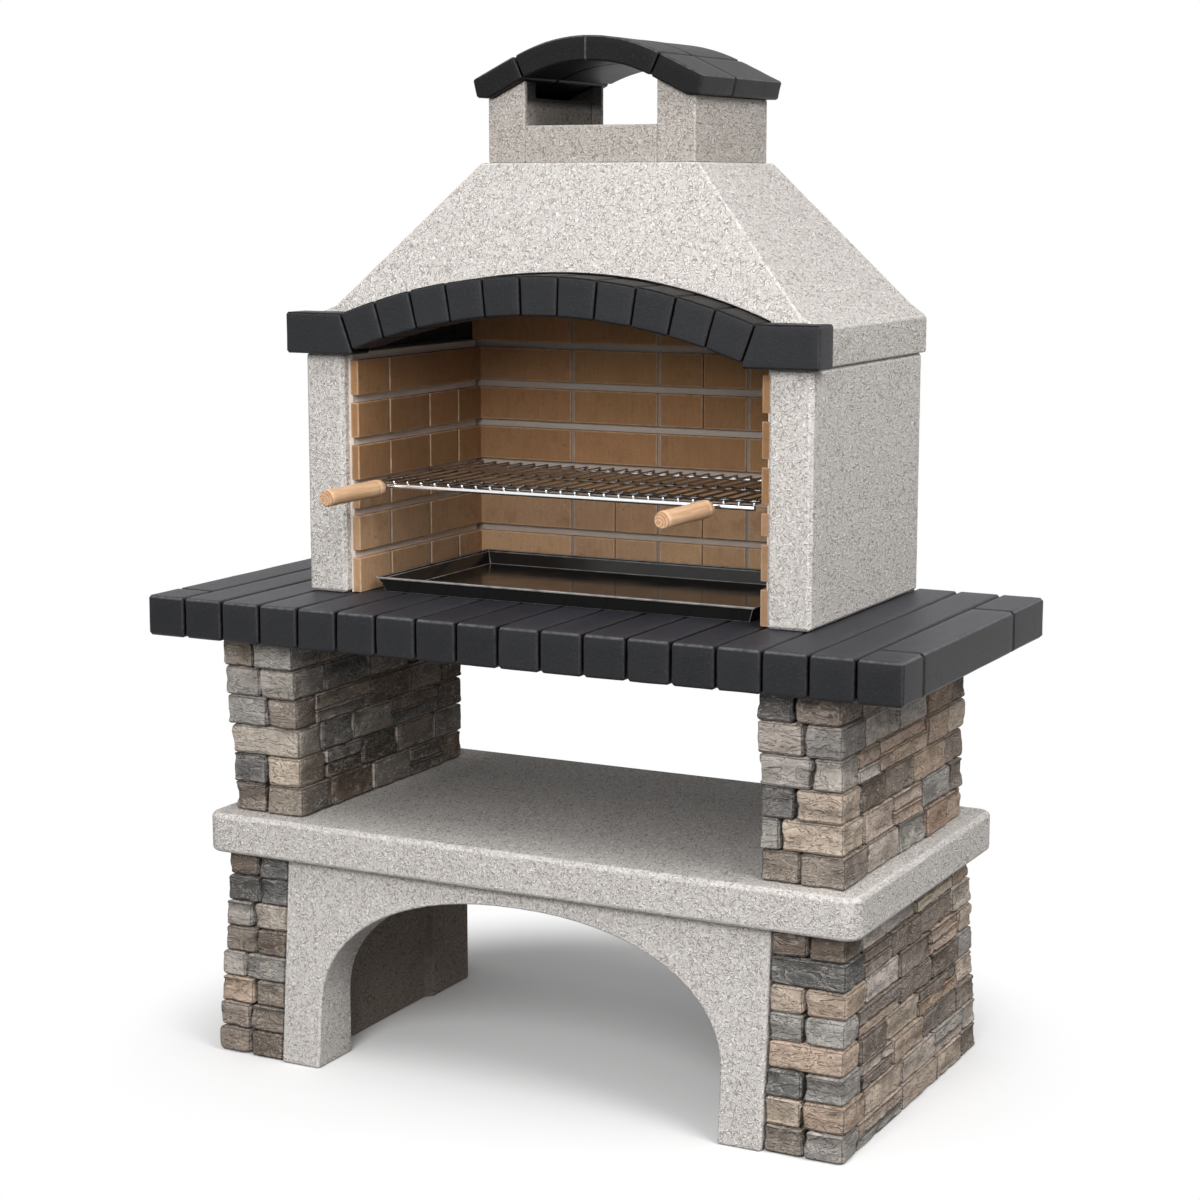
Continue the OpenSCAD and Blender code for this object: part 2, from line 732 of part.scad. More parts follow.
// A side wall, level on top, with jambs at the front and the back that rise to the cap, and
// an upright groove inside, beside the rear jamb
module chimney_side(side) {
  z_jamb = under_cap(x_window);
  color(concrete) on_side(side) difference() {
    along_y(y_chimney, y_chimney_back)
      polygon([[x_window, z_chimney], [x_chimney, z_chimney], [x_chimney, z_cap_foot],
               [cap_foot_x, z_cap_foot], [x_window, z_jamb]]);
    block([x_window - past, y_flue, z_cap_foot], [cap_foot_x + past, y_flue_back, z_jamb + past]);
    block([x_window - past, y_flue_back - jamb_groove_w, z_chimney - past],
          [x_window + jamb_groove_d, y_flue_back, z_jamb + past]);
  }
}

module chimney_side_left() { chimney_side(-1); }

module chimney_side_right() { chimney_side(1); }

module chimney_sill(y0) {
  color(concrete)
    block([-x_window, y0, z_chimney], [x_window, y0 + sill_t, z_chimney + sill_h]);
}

module chimney_sill_front() { chimney_sill(y_chimney); }

module chimney_sill_back() { chimney_sill(y_flue_back); }

// The two rows of tiles, from front to back
module cap_rows() {
  y_mid = y_cap + cap_front_row;
  for (y = [[y_cap, y_mid - dry_joint / 2], [y_mid + dry_joint / 2, y_cap_back]]) {
    $y0 = y[0];
    $y1 = y[1];
    children();
  }
}

// A curved tile on each side of the middle, with its front and back edges bevelled
module cap_tiles_middle() {
  g = dry_joint / 2;
  color(charcoal) cap_rows() for (side = [-1, 1]) on_side(side) translate([0, 0, z_cap])
    intersection() {
      translate([0, $y1, 0]) rotate([90, 0, 0]) rotate_extrude($fn = 200)
        translate([cap_in_r, 0]) bevelled_rect(cap_r - cap_in_r, $y1 - $y0, cap_bevel);
      along_y($y0 - past, $y1 + past)
        polygon([[g, 0], ring_point(2 * cap_r, 0, g), ring_point(2 * cap_r, cap_half_angle, 0),
                 ring_point(g, cap_half_angle, 0)]);
    }
}

module cap_tiles_end(side) {
  g = dry_joint;
  z_top = z_cap + cap_r * cos(cap_half_angle);
  z_in = z_cap + cap_in_r * cos(cap_half_angle);
  edge_drop = (cap_edge_x - cap_x) * cap_tan;
  color(charcoal) on_side(side) cap_rows() bevelled_along_y($y0, $y1, cap_bevel)
    polygon([[cap_in_x + g, z_in - g * cap_tan], [cap_x + g, z_top - g * cap_tan],
             [cap_edge_x, z_top - edge_drop], [cap_edge_x - cap_edge_slant, z_cap_foot],
             [cap_foot_x, z_cap_foot]]);
}

module cap_tiles_left() { cap_tiles_end(-1); }

module cap_tiles_right() { cap_tiles_end(1); }

// The grill lies in the open joint over the short bricks
z_runner = z_firebox + row_z(short_row) + short_brick_h + curve_gap;
z_cross = z_runner + cross_bar_d / 2;
z_bar_top = z_runner + cross_bar_d;
z_front_bar = z_bar_top - front_bar_d / 2;
y_front_bar = y_lining_front + grill_inset;
y_rear_bar = y_lining_back - grill_rear_clear;
front_bar_half = x_lining - front_bar_clear;
y_tang = y_front_bar - front_bar_d / 2;
y_grip = y_tang - tang_bare;

// A round bar across the grill
module cross_bar(d, half, y, z) {
  translate([-half, y, z]) rotate([0, 90, 0]) cylinder(d = d, h = 2 * half);
}

// A round bar from front to back
module long_bar(d, x, y0, y1, z) {
  translate([x, y1, z]) rotate([90, 0, 0]) cylinder(d = d, h = y1 - y0);
}

module grill_front_bar() {
  color(steel) cross_bar(front_bar_d, front_bar_half, y_front_bar, z_front_bar);
}

module grill_cross_bars() {
  y_first = y_front_bar + first_cross_bar;
  color(steel) for (k = [0 : 2])
    cross_bar(cross_bar_d, x_lining + runner_reach, y_first + (y_rear_bar - y_first) * k / 2,
              z_cross);
}

module grill_rods() {
  half = front_bar_half - rod_d / 2;
  color(steel) for (k = [0 : rod_count - 1])
    long_bar(rod_d, -half + 2 * half * k / (rod_count - 1), y_front_bar - rod_d / 2,
             y_rear_bar + rod_d / 2, z_bar_top + rod_d / 2);
}

left_handle_x = -front_bar_half + left_handle_inset;
right_handle_x = front_bar_half - right_handle_inset;

// A tang in the grip that forks into two prongs, which meet the front bar
module grill_tang(x) {
  fork = y_grip + tang_d / 2;
  run = y_tang - fork;
  side = (prong_spread - prong_d) / 2;
  color(steel) {
    long_bar(tang_d, x, y_grip - tang_in_grip, fork, z_front_bar);
    intersection() {
      for (s = [-1, 1]) translate([x, fork, z_front_bar]) rotate([0, 0, -s * atan(side / run)])
        rotate([-90, 0, 0]) translate([0, 0, -tang_d / 2]) cylinder(d = prong_d, h = 2 * run);
      block([x - prong_spread, fork - tang_d, z_front_bar - prong_d],
            [x + prong_spread, y_tang, z_front_bar + prong_d]);
    }
  }
}

module grill_tang_left() { grill_tang(left_handle_x); }

module grill_tang_right() { grill_tang(right_handle_x); }

// A turned wooden grip: a shoulder with a groove, a long waist and a bevelled nose, bored
// for the tang
module grill_grip(x) {
  r = grip_d / 2;
  shoulder = grip_l * 0.12;
  groove = r * 0.1;
  nose = grip_l * 0.02;
  color(beech) translate([x, y_grip, z_front_bar]) rotate([90, 0, 0]) difference() {
    rotate_extrude()
      polygon([[0, 0], [r * 0.76, 0], [r * 0.9, groove * 2], [r, shoulder * 0.7],
               [r, shoulder - groove], [r - groove, shoulder], [r, shoulder + groove],
               [r, shoulder * 1.6], [r * 0.95, grip_l * 0.34], [r * 0.93, grip_l * 0.6],
               [r * 0.97, grip_l - nose * 2], [r * 0.95, grip_l - nose], [r * 0.82, grip_l],
               [0, grip_l]]);
    translate([0, 0, -past]) cylinder(d = tang_d + 2 * curve_gap / 10, h = tang_in_grip + past);
  }
}

module grill_grip_left() { grill_grip(left_handle_x); }

module grill_grip_right() { grill_grip(right_handle_x); }

// The tray: a flared pan with a folded rim
x_tray = x_lining - tray_side_clear - tray_rim;
y_tray = y_lining_front + tray_inset;
y_tray_back = y_lining_back - tray_rear_clear - tray_rim;
z_rim = z_firebox + tray_h - tray_rim;

// A flared body, drawn in by the sheet's thickness where it is the inside
module tray_body(inset, z0, z1) {
  f = tray_flare;
  x = x_tray - inset;
  y0 = y_tray + inset;
  y1 = y_tray_back - inset;
  intersection() {
    along_y(y_tray, y_tray_back) polygon([[-x + f, z0], [x - f, z0], [x, z1], [-x, z1]]);
    along_x(-x_tray, x_tray) polygon([[y0 + f, z0], [y1 - f, z0], [y1, z1], [y0, z1]]);
  }
}

module tray_pan() {
  color(dark_steel) difference() {
    tray_body(0, z_firebox, z_rim);
    tray_body(tray_sheet, z_firebox + tray_sheet, z_rim + past);
  }
}

module tray_rim() {
  e = tray_rim;
  i = tray_sheet;
  color(dark_steel) difference() {
    bevelled_block([-x_tray - e, y_tray - e, z_rim], [x_tray + e, y_tray_back + e, z_rim + e], 1);
    block([-x_tray + i, y_tray + i, z_rim - past], [x_tray - i, y_tray_back - i, z_rim + past]);
  }
}

base_stones_left();
base_stones_right();
base_leaf_left();
base_leaf_right();
front_arch_panel();
shelf();
upper_stones_left();
upper_stones_right();
worktop_planks();
worktop_blocks_left();
worktop_blocks_right();
firebox_wall_left();
firebox_wall_right();
firebox_back_wall();
mortar_left();
mortar_right();
mortar_back();
bricks_left();
bricks_right();
bricks_back();
lintel_block_left();
lintel_block_right();
lintel_wedges();
hood();
chimney_side_left();
chimney_side_right();
chimney_sill_front();
chimney_sill_back();
cap_tiles_middle();
cap_tiles_left();
cap_tiles_right();
grill_front_bar();
grill_cross_bars();
grill_rods();
grill_tang_left();
grill_tang_right();
grill_grip_left();
grill_grip_right();
tray_pan();
tray_rim();
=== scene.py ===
# Outdoor masonry barbecue: the looks of each piece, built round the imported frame.
import bpy
import bmesh
import math
import numpy as np
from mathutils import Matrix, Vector


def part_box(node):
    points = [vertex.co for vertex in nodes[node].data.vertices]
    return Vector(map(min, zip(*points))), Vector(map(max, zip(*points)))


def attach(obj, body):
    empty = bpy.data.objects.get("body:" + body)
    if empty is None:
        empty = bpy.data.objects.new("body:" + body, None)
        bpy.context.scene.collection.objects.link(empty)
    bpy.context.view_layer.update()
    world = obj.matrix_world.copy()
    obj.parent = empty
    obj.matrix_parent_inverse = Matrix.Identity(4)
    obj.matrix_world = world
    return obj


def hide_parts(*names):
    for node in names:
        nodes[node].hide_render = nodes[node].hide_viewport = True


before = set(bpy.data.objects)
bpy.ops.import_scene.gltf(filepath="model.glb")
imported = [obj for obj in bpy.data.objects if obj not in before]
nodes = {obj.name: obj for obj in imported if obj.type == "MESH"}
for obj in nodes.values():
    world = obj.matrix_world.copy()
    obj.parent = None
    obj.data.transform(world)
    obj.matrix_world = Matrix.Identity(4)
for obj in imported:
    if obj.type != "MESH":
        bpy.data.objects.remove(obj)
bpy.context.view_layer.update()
MM = 0.001
WHITE = (1, 1, 1, 1)


# ---- numbers

def hashed(i, j, k, seed):
    """A repeatable number from 0 to 1 for each cell of a grid."""
    mask = 0xffffffff    # 32 bits
    n = (i * 73856093) ^ (j * 19349663) ^ (k * 83492791) ^ (seed * 668265263)
    n = ((n & mask) ^ ((n & mask) >> 13)) * 1274126177 & mask
    return ((n ^ (n >> 16)) & 0xffffff) / float(0xffffff)


def noise(p, size, seed=0):
    """Smooth noise from -1 to 1 at points p, with lumps about size metres across."""
    q = np.asarray(p) / size
    i = np.floor(q).astype(np.int64)
    f = q - i
    f = f * f * (3 - 2 * f)
    out = np.zeros(len(q))
    for dx in (0, 1):
        for dy in (0, 1):
            for dz in (0, 1):
                w = (f[:, 0] if dx else 1 - f[:, 0]) * (f[:, 1] if dy else 1 - f[:, 1])
                w = w * (f[:, 2] if dz else 1 - f[:, 2])
                out += w * hashed(i[:, 0] + dx, i[:, 1] + dy, i[:, 2] + dz, seed)
    return out * 2 - 1


def smooth(t):
    t = np.clip(t, 0, 1)
    return t * t * (3 - 2 * t)


def linear(rgb):
    """sRGB from 0 to 255 as linear values."""
    c = np.array(rgb, float) / 255
    return np.where(c <= 0.04045, c / 12.92, ((c + 0.055) / 1.055) ** 2.4)


def corners(node):
    """Lowest and highest corner of a CAD node, as arrays."""
    return [np.array(v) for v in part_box(node)]


# ---- meshes

def islands(node):
    """Lowest and highest corner of each solid of a CAD node."""
    me = nodes[node].data
    co = np.empty(len(me.vertices) * 3)
    me.vertices.foreach_get("co", co)
    co = co.reshape(-1, 3)
    weld = np.round(co * 1e5).astype(np.int64)
    ids = np.unique(weld, axis=0, return_inverse=True)[1].ravel()
    parent = list(range(int(ids.max()) + 1))

    def root(a):
        while parent[a] != a:
            parent[a] = parent[parent[a]]
            a = parent[a]
        return a

    for poly in me.polygons:
        v = [root(int(ids[i])) for i in poly.vertices]
        for b in v[1:]:
            parent[root(b)] = root(v[0])
    group = np.array([root(int(i)) for i in ids])
    found = [(co[group == g].min(0), co[group == g].max(0)) for g in np.unique(group)]
    return sorted(found, key=lambda b: (round(b[0][2], 4), round(b[0][1], 4), b[0][0]))


def lines(a, b, cell, r, steps):
    """Places along one side of a block: close together over its rounded edges, even between."""
    n = max(1, round((b - a - 2 * r) / cell))
    mid = np.linspace(a + r, b - r, n + 1)[1:-1]
    edge = r * np.array(steps)
    return np.concatenate([a + edge, mid, (b - edge)[::-1]])


def box_grid(lo, hi, cell, r, steps=(0, 0.3, 0.65, 1), power=2.0, extra=((), (), ())):
    """A block as a shell of quads, with rounded (power 2) to flat bevels (power 1) of size r:
    points, faces, outward normals and distance from the nearest edge."""
    cell = np.broadcast_to(cell, 3)
    ax = [np.union1d(lines(lo[k], hi[k], cell[k], r, steps), extra[k]) for k in range(3)]
    n = [len(a) for a in ax]
    idx = np.full(n, -1, np.int64)
    shell = np.zeros(n, bool)
    for k in range(3):
        sl = [slice(None)] * 3
        for e in (0, -1):
            sl[k] = e
            shell[tuple(sl)] = True
    where = np.argwhere(shell)
    idx[tuple(where.T)] = np.arange(len(where))
    p = np.stack([ax[k][where[:, k]] for k in range(3)], 1)
    faces = []
    for k in range(3):
        for e, out in ((0, -1), (-1, 1)):
            sl = [slice(None)] * 3
            sl[k] = e
            g = idx[tuple(sl)]
            quad = np.stack([g[:-1, :-1], g[1:, :-1], g[1:, 1:], g[:-1, 1:]], -1).reshape(-1, 4)
            if (out > 0) == (k == 1):
                quad = quad[:, ::-1]
            faces.append(quad)
    lo, hi = np.asarray(lo), np.asarray(hi)
    c, h = (lo + hi) / 2, (hi - lo) / 2
    near = np.sort(h - np.abs(p - c), axis=1)[:, 1]
    q = np.clip(p - c, -(h - r), h - r)
    d = (p - c) - q
    nor = d / np.linalg.norm(d, axis=1)[:, None]
    d = d / (np.abs(d) ** power).sum(1)[:, None] ** (1 / power)
    return c + q + d * r, np.concatenate(faces), nor, near


def ring(sides):
    """Angles of the points round a turned piece."""
    return np.arange(sides) * 2 * math.pi / sides


def ring_faces(count, sides):
    """Quads between count rings of points."""
    return [[k * sides + i, k * sides + (i + 1) % sides,
             (k + 1) * sides + (i + 1) % sides, (k + 1) * sides + i]
            for k in range(count - 1) for i in range(sides)]


def tube(p0, p1, r, sides=14, dome=0.5):
    """A round bar with domed ends."""
    p0, p1 = np.array(p0, float), np.array(p1, float)
    length = np.linalg.norm(p1 - p0)
    d = (p1 - p0) / length
    u = np.cross(d, [0, 0, 1] if abs(d[2]) < 0.9 else [1, 0, 0])
    u /= np.linalg.norm(u)
    v = np.cross(d, u)
    rise = [(dome * r * (1 - math.cos(a)), r * math.sin(a)) for a in (0.35, 0.8, 1.2, math.pi / 2)]
    prof = rise + [(length - s, q) for s, q in rise[::-1]]
    t = ring(sides)
    circle = np.cos(t)[:, None] * u + np.sin(t)[:, None] * v
    pts = np.concatenate([p0 + d * s + circle * q for s, q in prof])
    ends = [list(range(sides))[::-1], [(len(prof) - 1) * sides + i for i in range(sides)]]
    return pts, ring_faces(len(prof), sides) + ends


def own(obj, body, mat, replaces=()):
    """Puts a new object into the scene, on its body and with its material."""
    bpy.context.scene.collection.objects.link(obj)
    obj.data.materials.append(mat)
    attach(obj, body)
    if replaces:
        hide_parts(*replaces)
    return obj


def even_normals(obj):
    obj.modifiers.new("even_normals", "WEIGHTED_NORMAL").keep_sharp = True


def make(name, pts, faces, body, mat, replaces=(), attrs=None, normals=None, sharp=None,
         weighted=False):
    """One object from points and faces, which rides on a body and stands for CAD nodes."""
    me = bpy.data.meshes.new(name)
    me.from_pydata(np.asarray(pts).tolist(), [], [list(map(int, f)) for f in faces])
    me.update()
    me.polygons.foreach_set("use_smooth", [True] * len(me.polygons))
    for key, val in (attrs or {}).items():
        val = np.asarray(val, float)
        if val.ndim == 1:
            me.attributes.new(key, "FLOAT", "POINT").data.foreach_set("value", val)
        else:
            full = np.concatenate([val, np.ones((len(val), 1))], 1)
            me.attributes.new(key, "FLOAT_COLOR", "POINT").data.foreach_set("color", full.ravel())
    if normals is not None:
        me.normals_split_custom_set_from_vertices(np.asarray(normals).tolist())
    elif sharp:
        me.set_sharp_from_angle(angle=math.radians(sharp))
    obj = own(bpy.data.objects.new(name, me), body, mat, replaces)
    if weighted:
        even_normals(obj)


class Pile:
    """Points, faces and attributes of many blocks, gathered into one object."""

    def __init__(self):
        self.p, self.f, self.n, self.a, self.count = [], [], [], {}, 0

    def add(self, p, f, n=None, **attrs):
        """Adds one block. An attribute is one value or colour for it, or one for each point."""
        self.p.append(p)
        self.f.extend([int(i) + self.count for i in q] for q in f)
        self.n.append(n if n is not None else np.zeros_like(p))
        for k, v in attrs.items():
            v = np.asarray(v, float)
            one = v.ndim == 0 or (v.ndim == 1 and len(v) == 3)
            self.a.setdefault(k, []).append(np.broadcast_to(v, (len(p),) + v.shape) if one else v)
        self.count += len(p)

    def build(self, name, body, slot, mat, replaces=(), normals=False, sharp=None,
              weighted=False):
        attrs = {k: np.concatenate(v) for k, v in self.a.items()}
        make(name, np.concatenate(self.p), self.f, body, mat, replaces, attrs,
             np.concatenate(self.n) if normals else None, sharp, weighted)


def dress(node, name, body, mat, width, segments=3, move=None):
    """A CAD node's own shape with every sharp edge rounded, as a new piece that replaces it."""
    bm = bmesh.new()
    bm.from_mesh(nodes[node].data)
    bmesh.ops.remove_doubles(bm, verts=bm.verts, dist=1e-5)
    bmesh.ops.dissolve_limit(bm, angle_limit=math.radians(0.4), verts=bm.verts, edges=bm.edges)
    if move:
        move(bm)
    sharp = math.radians(25)
    edges = [e for e in bm.edges if e.is_manifold and e.calc_face_angle(0) > sharp]
    worn = bm.faces.layers.float.new("worn")
    made = bmesh.ops.bevel(bm, geom=edges, offset=width, segments=segments, profile=0.5,
                           affect="EDGES", clamp_overlap=False)
    for f in made["faces"]:
        f[worn] = 1.0
    me = bpy.data.meshes.new(name)
    bm.to_mesh(me)
    bm.free()
    me.polygons.foreach_set("use_smooth", [True] * len(me.polygons))
    me.set_sharp_from_angle(angle=math.radians(40))
    even_normals(own(bpy.data.objects.new(name, me), body, mat, (node,)))


def paint(node, mat):
    """A material on a CAD node that is shown as it is."""
    nodes[node].data.materials.clear()
    nodes[node].data.materials.append(mat)


# ---- shader nodes

class Nodes:
    """A node tree, with short names for the nodes that the looks are made of."""

    def __init__(self, tree):
        self.tree = tree

    def put(self, socket, v):
        if isinstance(v, bpy.types.NodeSocket):
            self.tree.links.new(v, socket)
        else:
            socket.default_value = v

    def add(self, kind, props=None, **inputs):
        """A node, with inputs by name."""
        n = self.tree.nodes.new("ShaderNode" + kind)
        for k, v in (props or {}).items():
            setattr(n, k, v)
        for k, v in inputs.items():
            self.put(n.inputs[k.replace("_", " ")], v)
        return n

    def join(self, kind, values, props=None):
        """A node, with its first inputs in their order."""
        n = self.add(kind, props)
        for k, v in enumerate(values):
            self.put(n.inputs[k], v)
        return n

    def math(self, op, a, b=0.0):
        return self.join("Math", (a, b), {"operation": op}).outputs[0]

    def plus(self, a, b):
        return self.math("ADD", a, b)

    def times(self, first, *rest):
        for v in rest:
            first = self.math("MULTIPLY", first, v)
        return first

    def crease(self, v):
        """Distance of a noise from its middle, which is 0 along winding lines."""
        return self.math("ABSOLUTE", self.math("SUBTRACT", v, 0.5))

    def fit(self, v, a, b, lo=0.0, hi=1.0, kind="LINEAR"):
        """v from a..b taken to lo..hi, held at the ends."""
        return self.join("MapRange", (v, a, b, lo, hi), {"interpolation_type": kind}).outputs[0]

    def under(self, v, a, b):
        """1 below a, falling to 0 at b."""
        return self.fit(v, a, b, 1.0, 0.0)

    def band(self, v, a, b, c, d):
        """0 below a, 1 from b to c, 0 above d."""
        return self.times(self.fit(v, a, b), self.under(v, c, d))

    def vec(self, op, a, b=(0, 0, 0), out="Vector"):
        return self.join("VectorMath", (a, b), {"operation": op}).outputs[out]

    def split(self, v):
        return self.add("SeparateXYZ", Vector=v).outputs

    def mix(self, fac, a, b, blend="MIX"):
        n = self.add("Mix", {"data_type": "RGBA", "blend_type": blend})
        self.put(n.inputs[0], fac)
        for k, v in ((6, a), (7, b)):
            if not isinstance(v, bpy.types.NodeSocket):
                v = (*[float(x) for x in v], 1.0)
            self.put(n.inputs[k], v)
        return n.outputs[2]


class Mat(Nodes):
    """A material on one principled shader."""

    def __init__(self, name, rough, spec=0.5, metal=0.0):
        self.m = bpy.data.materials.new(name)
        self.m.use_nodes = True
        super().__init__(self.m.node_tree)
        self.shader = self.tree.nodes["Principled BSDF"].inputs
        self.shader["Roughness"].default_value = rough
        self.shader["Metallic"].default_value = metal
        self.shader["Specular IOR Level"].default_value = spec
        self.co = self.add("TexCoord").outputs["Object"]

    def attr(self, name, out="Fac"):
        return self.add("Attribute", {"attribute_name": name}).outputs[out]

    def noise(self, scale, detail=2.0, rough=0.5, co=None, dist=0.0, out="Fac"):
        return self.add("TexNoise", Vector=co or self.co, Scale=scale, Detail=detail,
                        Roughness=rough, Distortion=dist).outputs[out]

    def shade(self, color, fac, lo, hi):
        """color made darker and lighter by fac, from lo to hi times."""
        v = self.fit(fac, 0.0, 1.0, lo, hi)
        return self.mix(1.0, color, self.join("CombineColor", (v, v, v)).outputs[0], "MULTIPLY")

    def toned(self, color):
        """color times the tone of each block."""
        return self.mix(1.0, color, self.attr("tone", "Color"), "MULTIPLY")

    def scaled(self, scale, co=None):
        return self.add("Mapping", Vector=co or self.co, Scale=scale).outputs[0]

    def streaks(self, scale, detail, rough=0.6, co=None, dist=0.0):
        """Noise drawn out along the axis on which scale is small."""
        return self.noise(1.0, detail, rough, self.scaled(scale, co), dist)

    def shifted(self):
        """Object coordinates moved by an attribute, so that each block has its own pattern."""
        return self.vec("ADD", self.co, self.attr("shift", "Vector"))

    def sway(self, size, amount, co):
        """Coordinates bent a little, with bends about size metres long."""
        off = self.vec("SUBTRACT", self.noise(1 / size, 1, co=co, out="Color"), (0.5, 0.5, 0.5))
        off = self.add("VectorMath", {"operation": "SCALE"}, Vector=off, Scale=amount)
        return self.vec("ADD", co, off.outputs[0])

    def finish(self, color, height, distance, strength):
        """Gives the shader its colour and its relief, distance metres high."""
        bump = self.add("Bump", Height=height, Distance=distance, Strength=strength)
        self.put(self.shader["Base Color"], color)
        self.put(self.shader["Normal"], bump.outputs[0])
        return self.m


# ---- materials

# Curled marks of the concrete: marks to the metre, strength of the line and of its pale rim
MARKS = ((108, 0.66, 0.62), (172, 0.5, 0.45))
# Where painted shade darkens the chimney inside, in metres: half its inner width, its inner faces
# at the front and the back, and the underside of its cap
FLUE_HALF, FLUE_FRONT, FLUE_BACK, FLUE_TOP = 0.203, -0.01, 0.282, 1.79
# Where painted shade darkens the shelf's top: from the walls and the front, to fully shaded,
# and its height
SHADE_SIDES, SHADE_DEPTH, SHADE_HEIGHT = (0.56, 0.4), (-0.34, 0.02), (0.462, 0.465)
# How dark the painted shade makes the concrete at most, times its colour
CHIMNEY_DARKEST, HOOD_DARKEST, SHELF_SHADE_DARKEST = 0.1, 0.14, 0.55


def concrete_material(name, level=1.0, warm=1.0, shaded=None):
    """Cast concrete with short curled marks, dark with pale rims. With shaded, painted shade makes
    the colour darker: shaded takes the material and gives where and how dark."""
    m = Mat(name, rough=0.9, spec=0.1)

    def tint(r, g, b):
        return r * level * warm, g * level, b * level / warm

    c = m.mix(m.noise(5, 2), tint(0.6, 0.565, 0.532), tint(0.63, 0.597, 0.566))
    c = m.shade(c, m.noise(420, 2, 0.6), 0.88, 1.12)
    h = m.times(m.noise(300, 2), 0.5)
    drawn = m.scaled((1, 0.62, 1))
    for k, (scale, dark, pale) in enumerate(MARKS):
        co = m.vec("ADD", drawn, (3.1 * k, 1.7 * k, 5.3 * k))
        worm = m.crease(m.noise(scale, 1, co=co, dist=0.6))
        here = m.noise(scale * 1.15, 1, co=m.vec("ADD", co, (7, 2, 4)))
        here = m.fit(here, 0.43, 0.53, 0.08, 1.0)
        line = m.times(m.under(worm, 0.016, 0.05), here)
        rim = m.times(m.band(worm, 0.05, 0.075, 0.105, 0.155), here)
        c = m.mix(m.times(rim, pale), c, tint(0.93, 0.9, 0.87))
        c = m.mix(m.times(line, dark), c, tint(0.24, 0.2, 0.175))
        h = m.plus(h, m.times(m.math("SUBTRACT", rim, line), dark))
    # Dark and reddish grains here and there
    cell = m.add("TexVoronoi", Vector=m.co, Scale=95.0).outputs
    dot = m.under(cell["Distance"], 0.1, 0.2)
    pick = m.add("SeparateColor", Color=cell["Color"]).outputs
    c = m.mix(m.times(dot, m.fit(pick[0], 0.88, 0.92, 0.0, 0.6)), c, tint(0.13, 0.115, 0.105))
    c = m.mix(m.times(dot, m.fit(pick[1], 0.8, 0.86, 0.0, 0.6)), c, tint(0.46, 0.35, 0.3))
    worn = m.times(m.attr("worn"), m.fit(m.noise(60, 3), 0.3, 0.7, 0.3, 1.0))
    c = m.mix(m.times(worn, 0.4), c, tint(0.85, 0.82, 0.79))
    if shaded:
        where, darkest = shaded(m)
        c = m.shade(c, where, 1.0, darkest)
    return m.finish(c, h, 0.0011, 0.8)


def chimney_painted_shade(m):
    """Painted shade on the inner faces of the chimney, deepest under the cap."""
    x, y, z = m.split(m.co)
    inside = m.times(m.under(m.math("ABSOLUTE", x), FLUE_HALF, FLUE_HALF + 0.003),
                     m.band(y, FLUE_FRONT - 0.006, FLUE_FRONT, FLUE_BACK, FLUE_BACK + 0.006))
    return m.times(inside, m.fit(z, FLUE_TOP - 0.014, FLUE_TOP, 0.35, 1.0)), CHIMNEY_DARKEST


def hood_painted_shade(m):
    """Painted shade on the inner faces of the hood: the slopes that face down, and the skirt
    inside.
    """
    lo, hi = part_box("hood")
    x, y, z = m.split(m.co)
    up = m.split(m.add("NewGeometry").outputs["Normal"])[2]
    inside = m.times(m.under(m.math("ABSOLUTE", x), hi.x - 0.034, hi.x - 0.03),
                     m.band(y, lo.y + 0.03, lo.y + 0.034, hi.y - 0.024, hi.y - 0.02))
    skirt = m.times(m.under(z, lo.z + 0.08, lo.z + 0.085), m.under(up, 0.05, 0.15))
    return m.times(inside, m.math("MAXIMUM", m.under(up, -0.15, -0.05), skirt)), HOOD_DARKEST


def shelf_painted_shade(m):
    """Painted shade: the shelf's top is darker between the walls, towards the back."""
    x, y, z = m.split(m.co)
    inside = m.times(m.fit(m.math("ABSOLUTE", x), *SHADE_SIDES), m.fit(y, *SHADE_DEPTH))
    return m.times(inside, m.fit(z, *SHADE_HEIGHT)), SHELF_SHADE_DARKEST


def charcoal_material():
    """Charcoal blocks: nearly black, brushed and grained, grey where the edges are worn."""
    m = Mat("charcoal_block", rough=0.45, spec=0.15)
    co = m.shifted()
    c = m.mix(m.noise(9, 3, co=co), (0.0135, 0.014, 0.0155), (0.0185, 0.019, 0.0215))
    brushed = m.streaks((60, 60, 620), 4, co=co)
    along = m.streaks((420, 40, 420), 4, co=co)
    grain = m.noise(480, 3, 0.7, co=co)
    c = m.shade(m.shade(m.toned(c), brushed, 0.68, 1.32), along, 0.68, 1.32)
    c = m.shade(c, grain, 0.6, 1.4)
    speck = m.fit(m.noise(320, 3, 0.7, co=co), 0.6, 0.74)
    c = m.mix(m.times(speck, 0.35), c, (0.1, 0.1, 0.106))
    worn = m.times(m.attr("edge"), m.fit(m.noise(90, 4, 0.65, co=co), 0.32, 0.6, 0.25, 1.0))
    c = m.mix(m.times(worn, 0.75), c, (0.15, 0.15, 0.158))
    h = m.plus(m.times(brushed, 0.5), m.times(along, 0.5))
    h = m.plus(h, m.times(m.noise(140, 4, 0.6, co=co), 0.8))
    return m.finish(c, m.plus(h, m.times(grain, 0.7)), 0.001, 0.85)


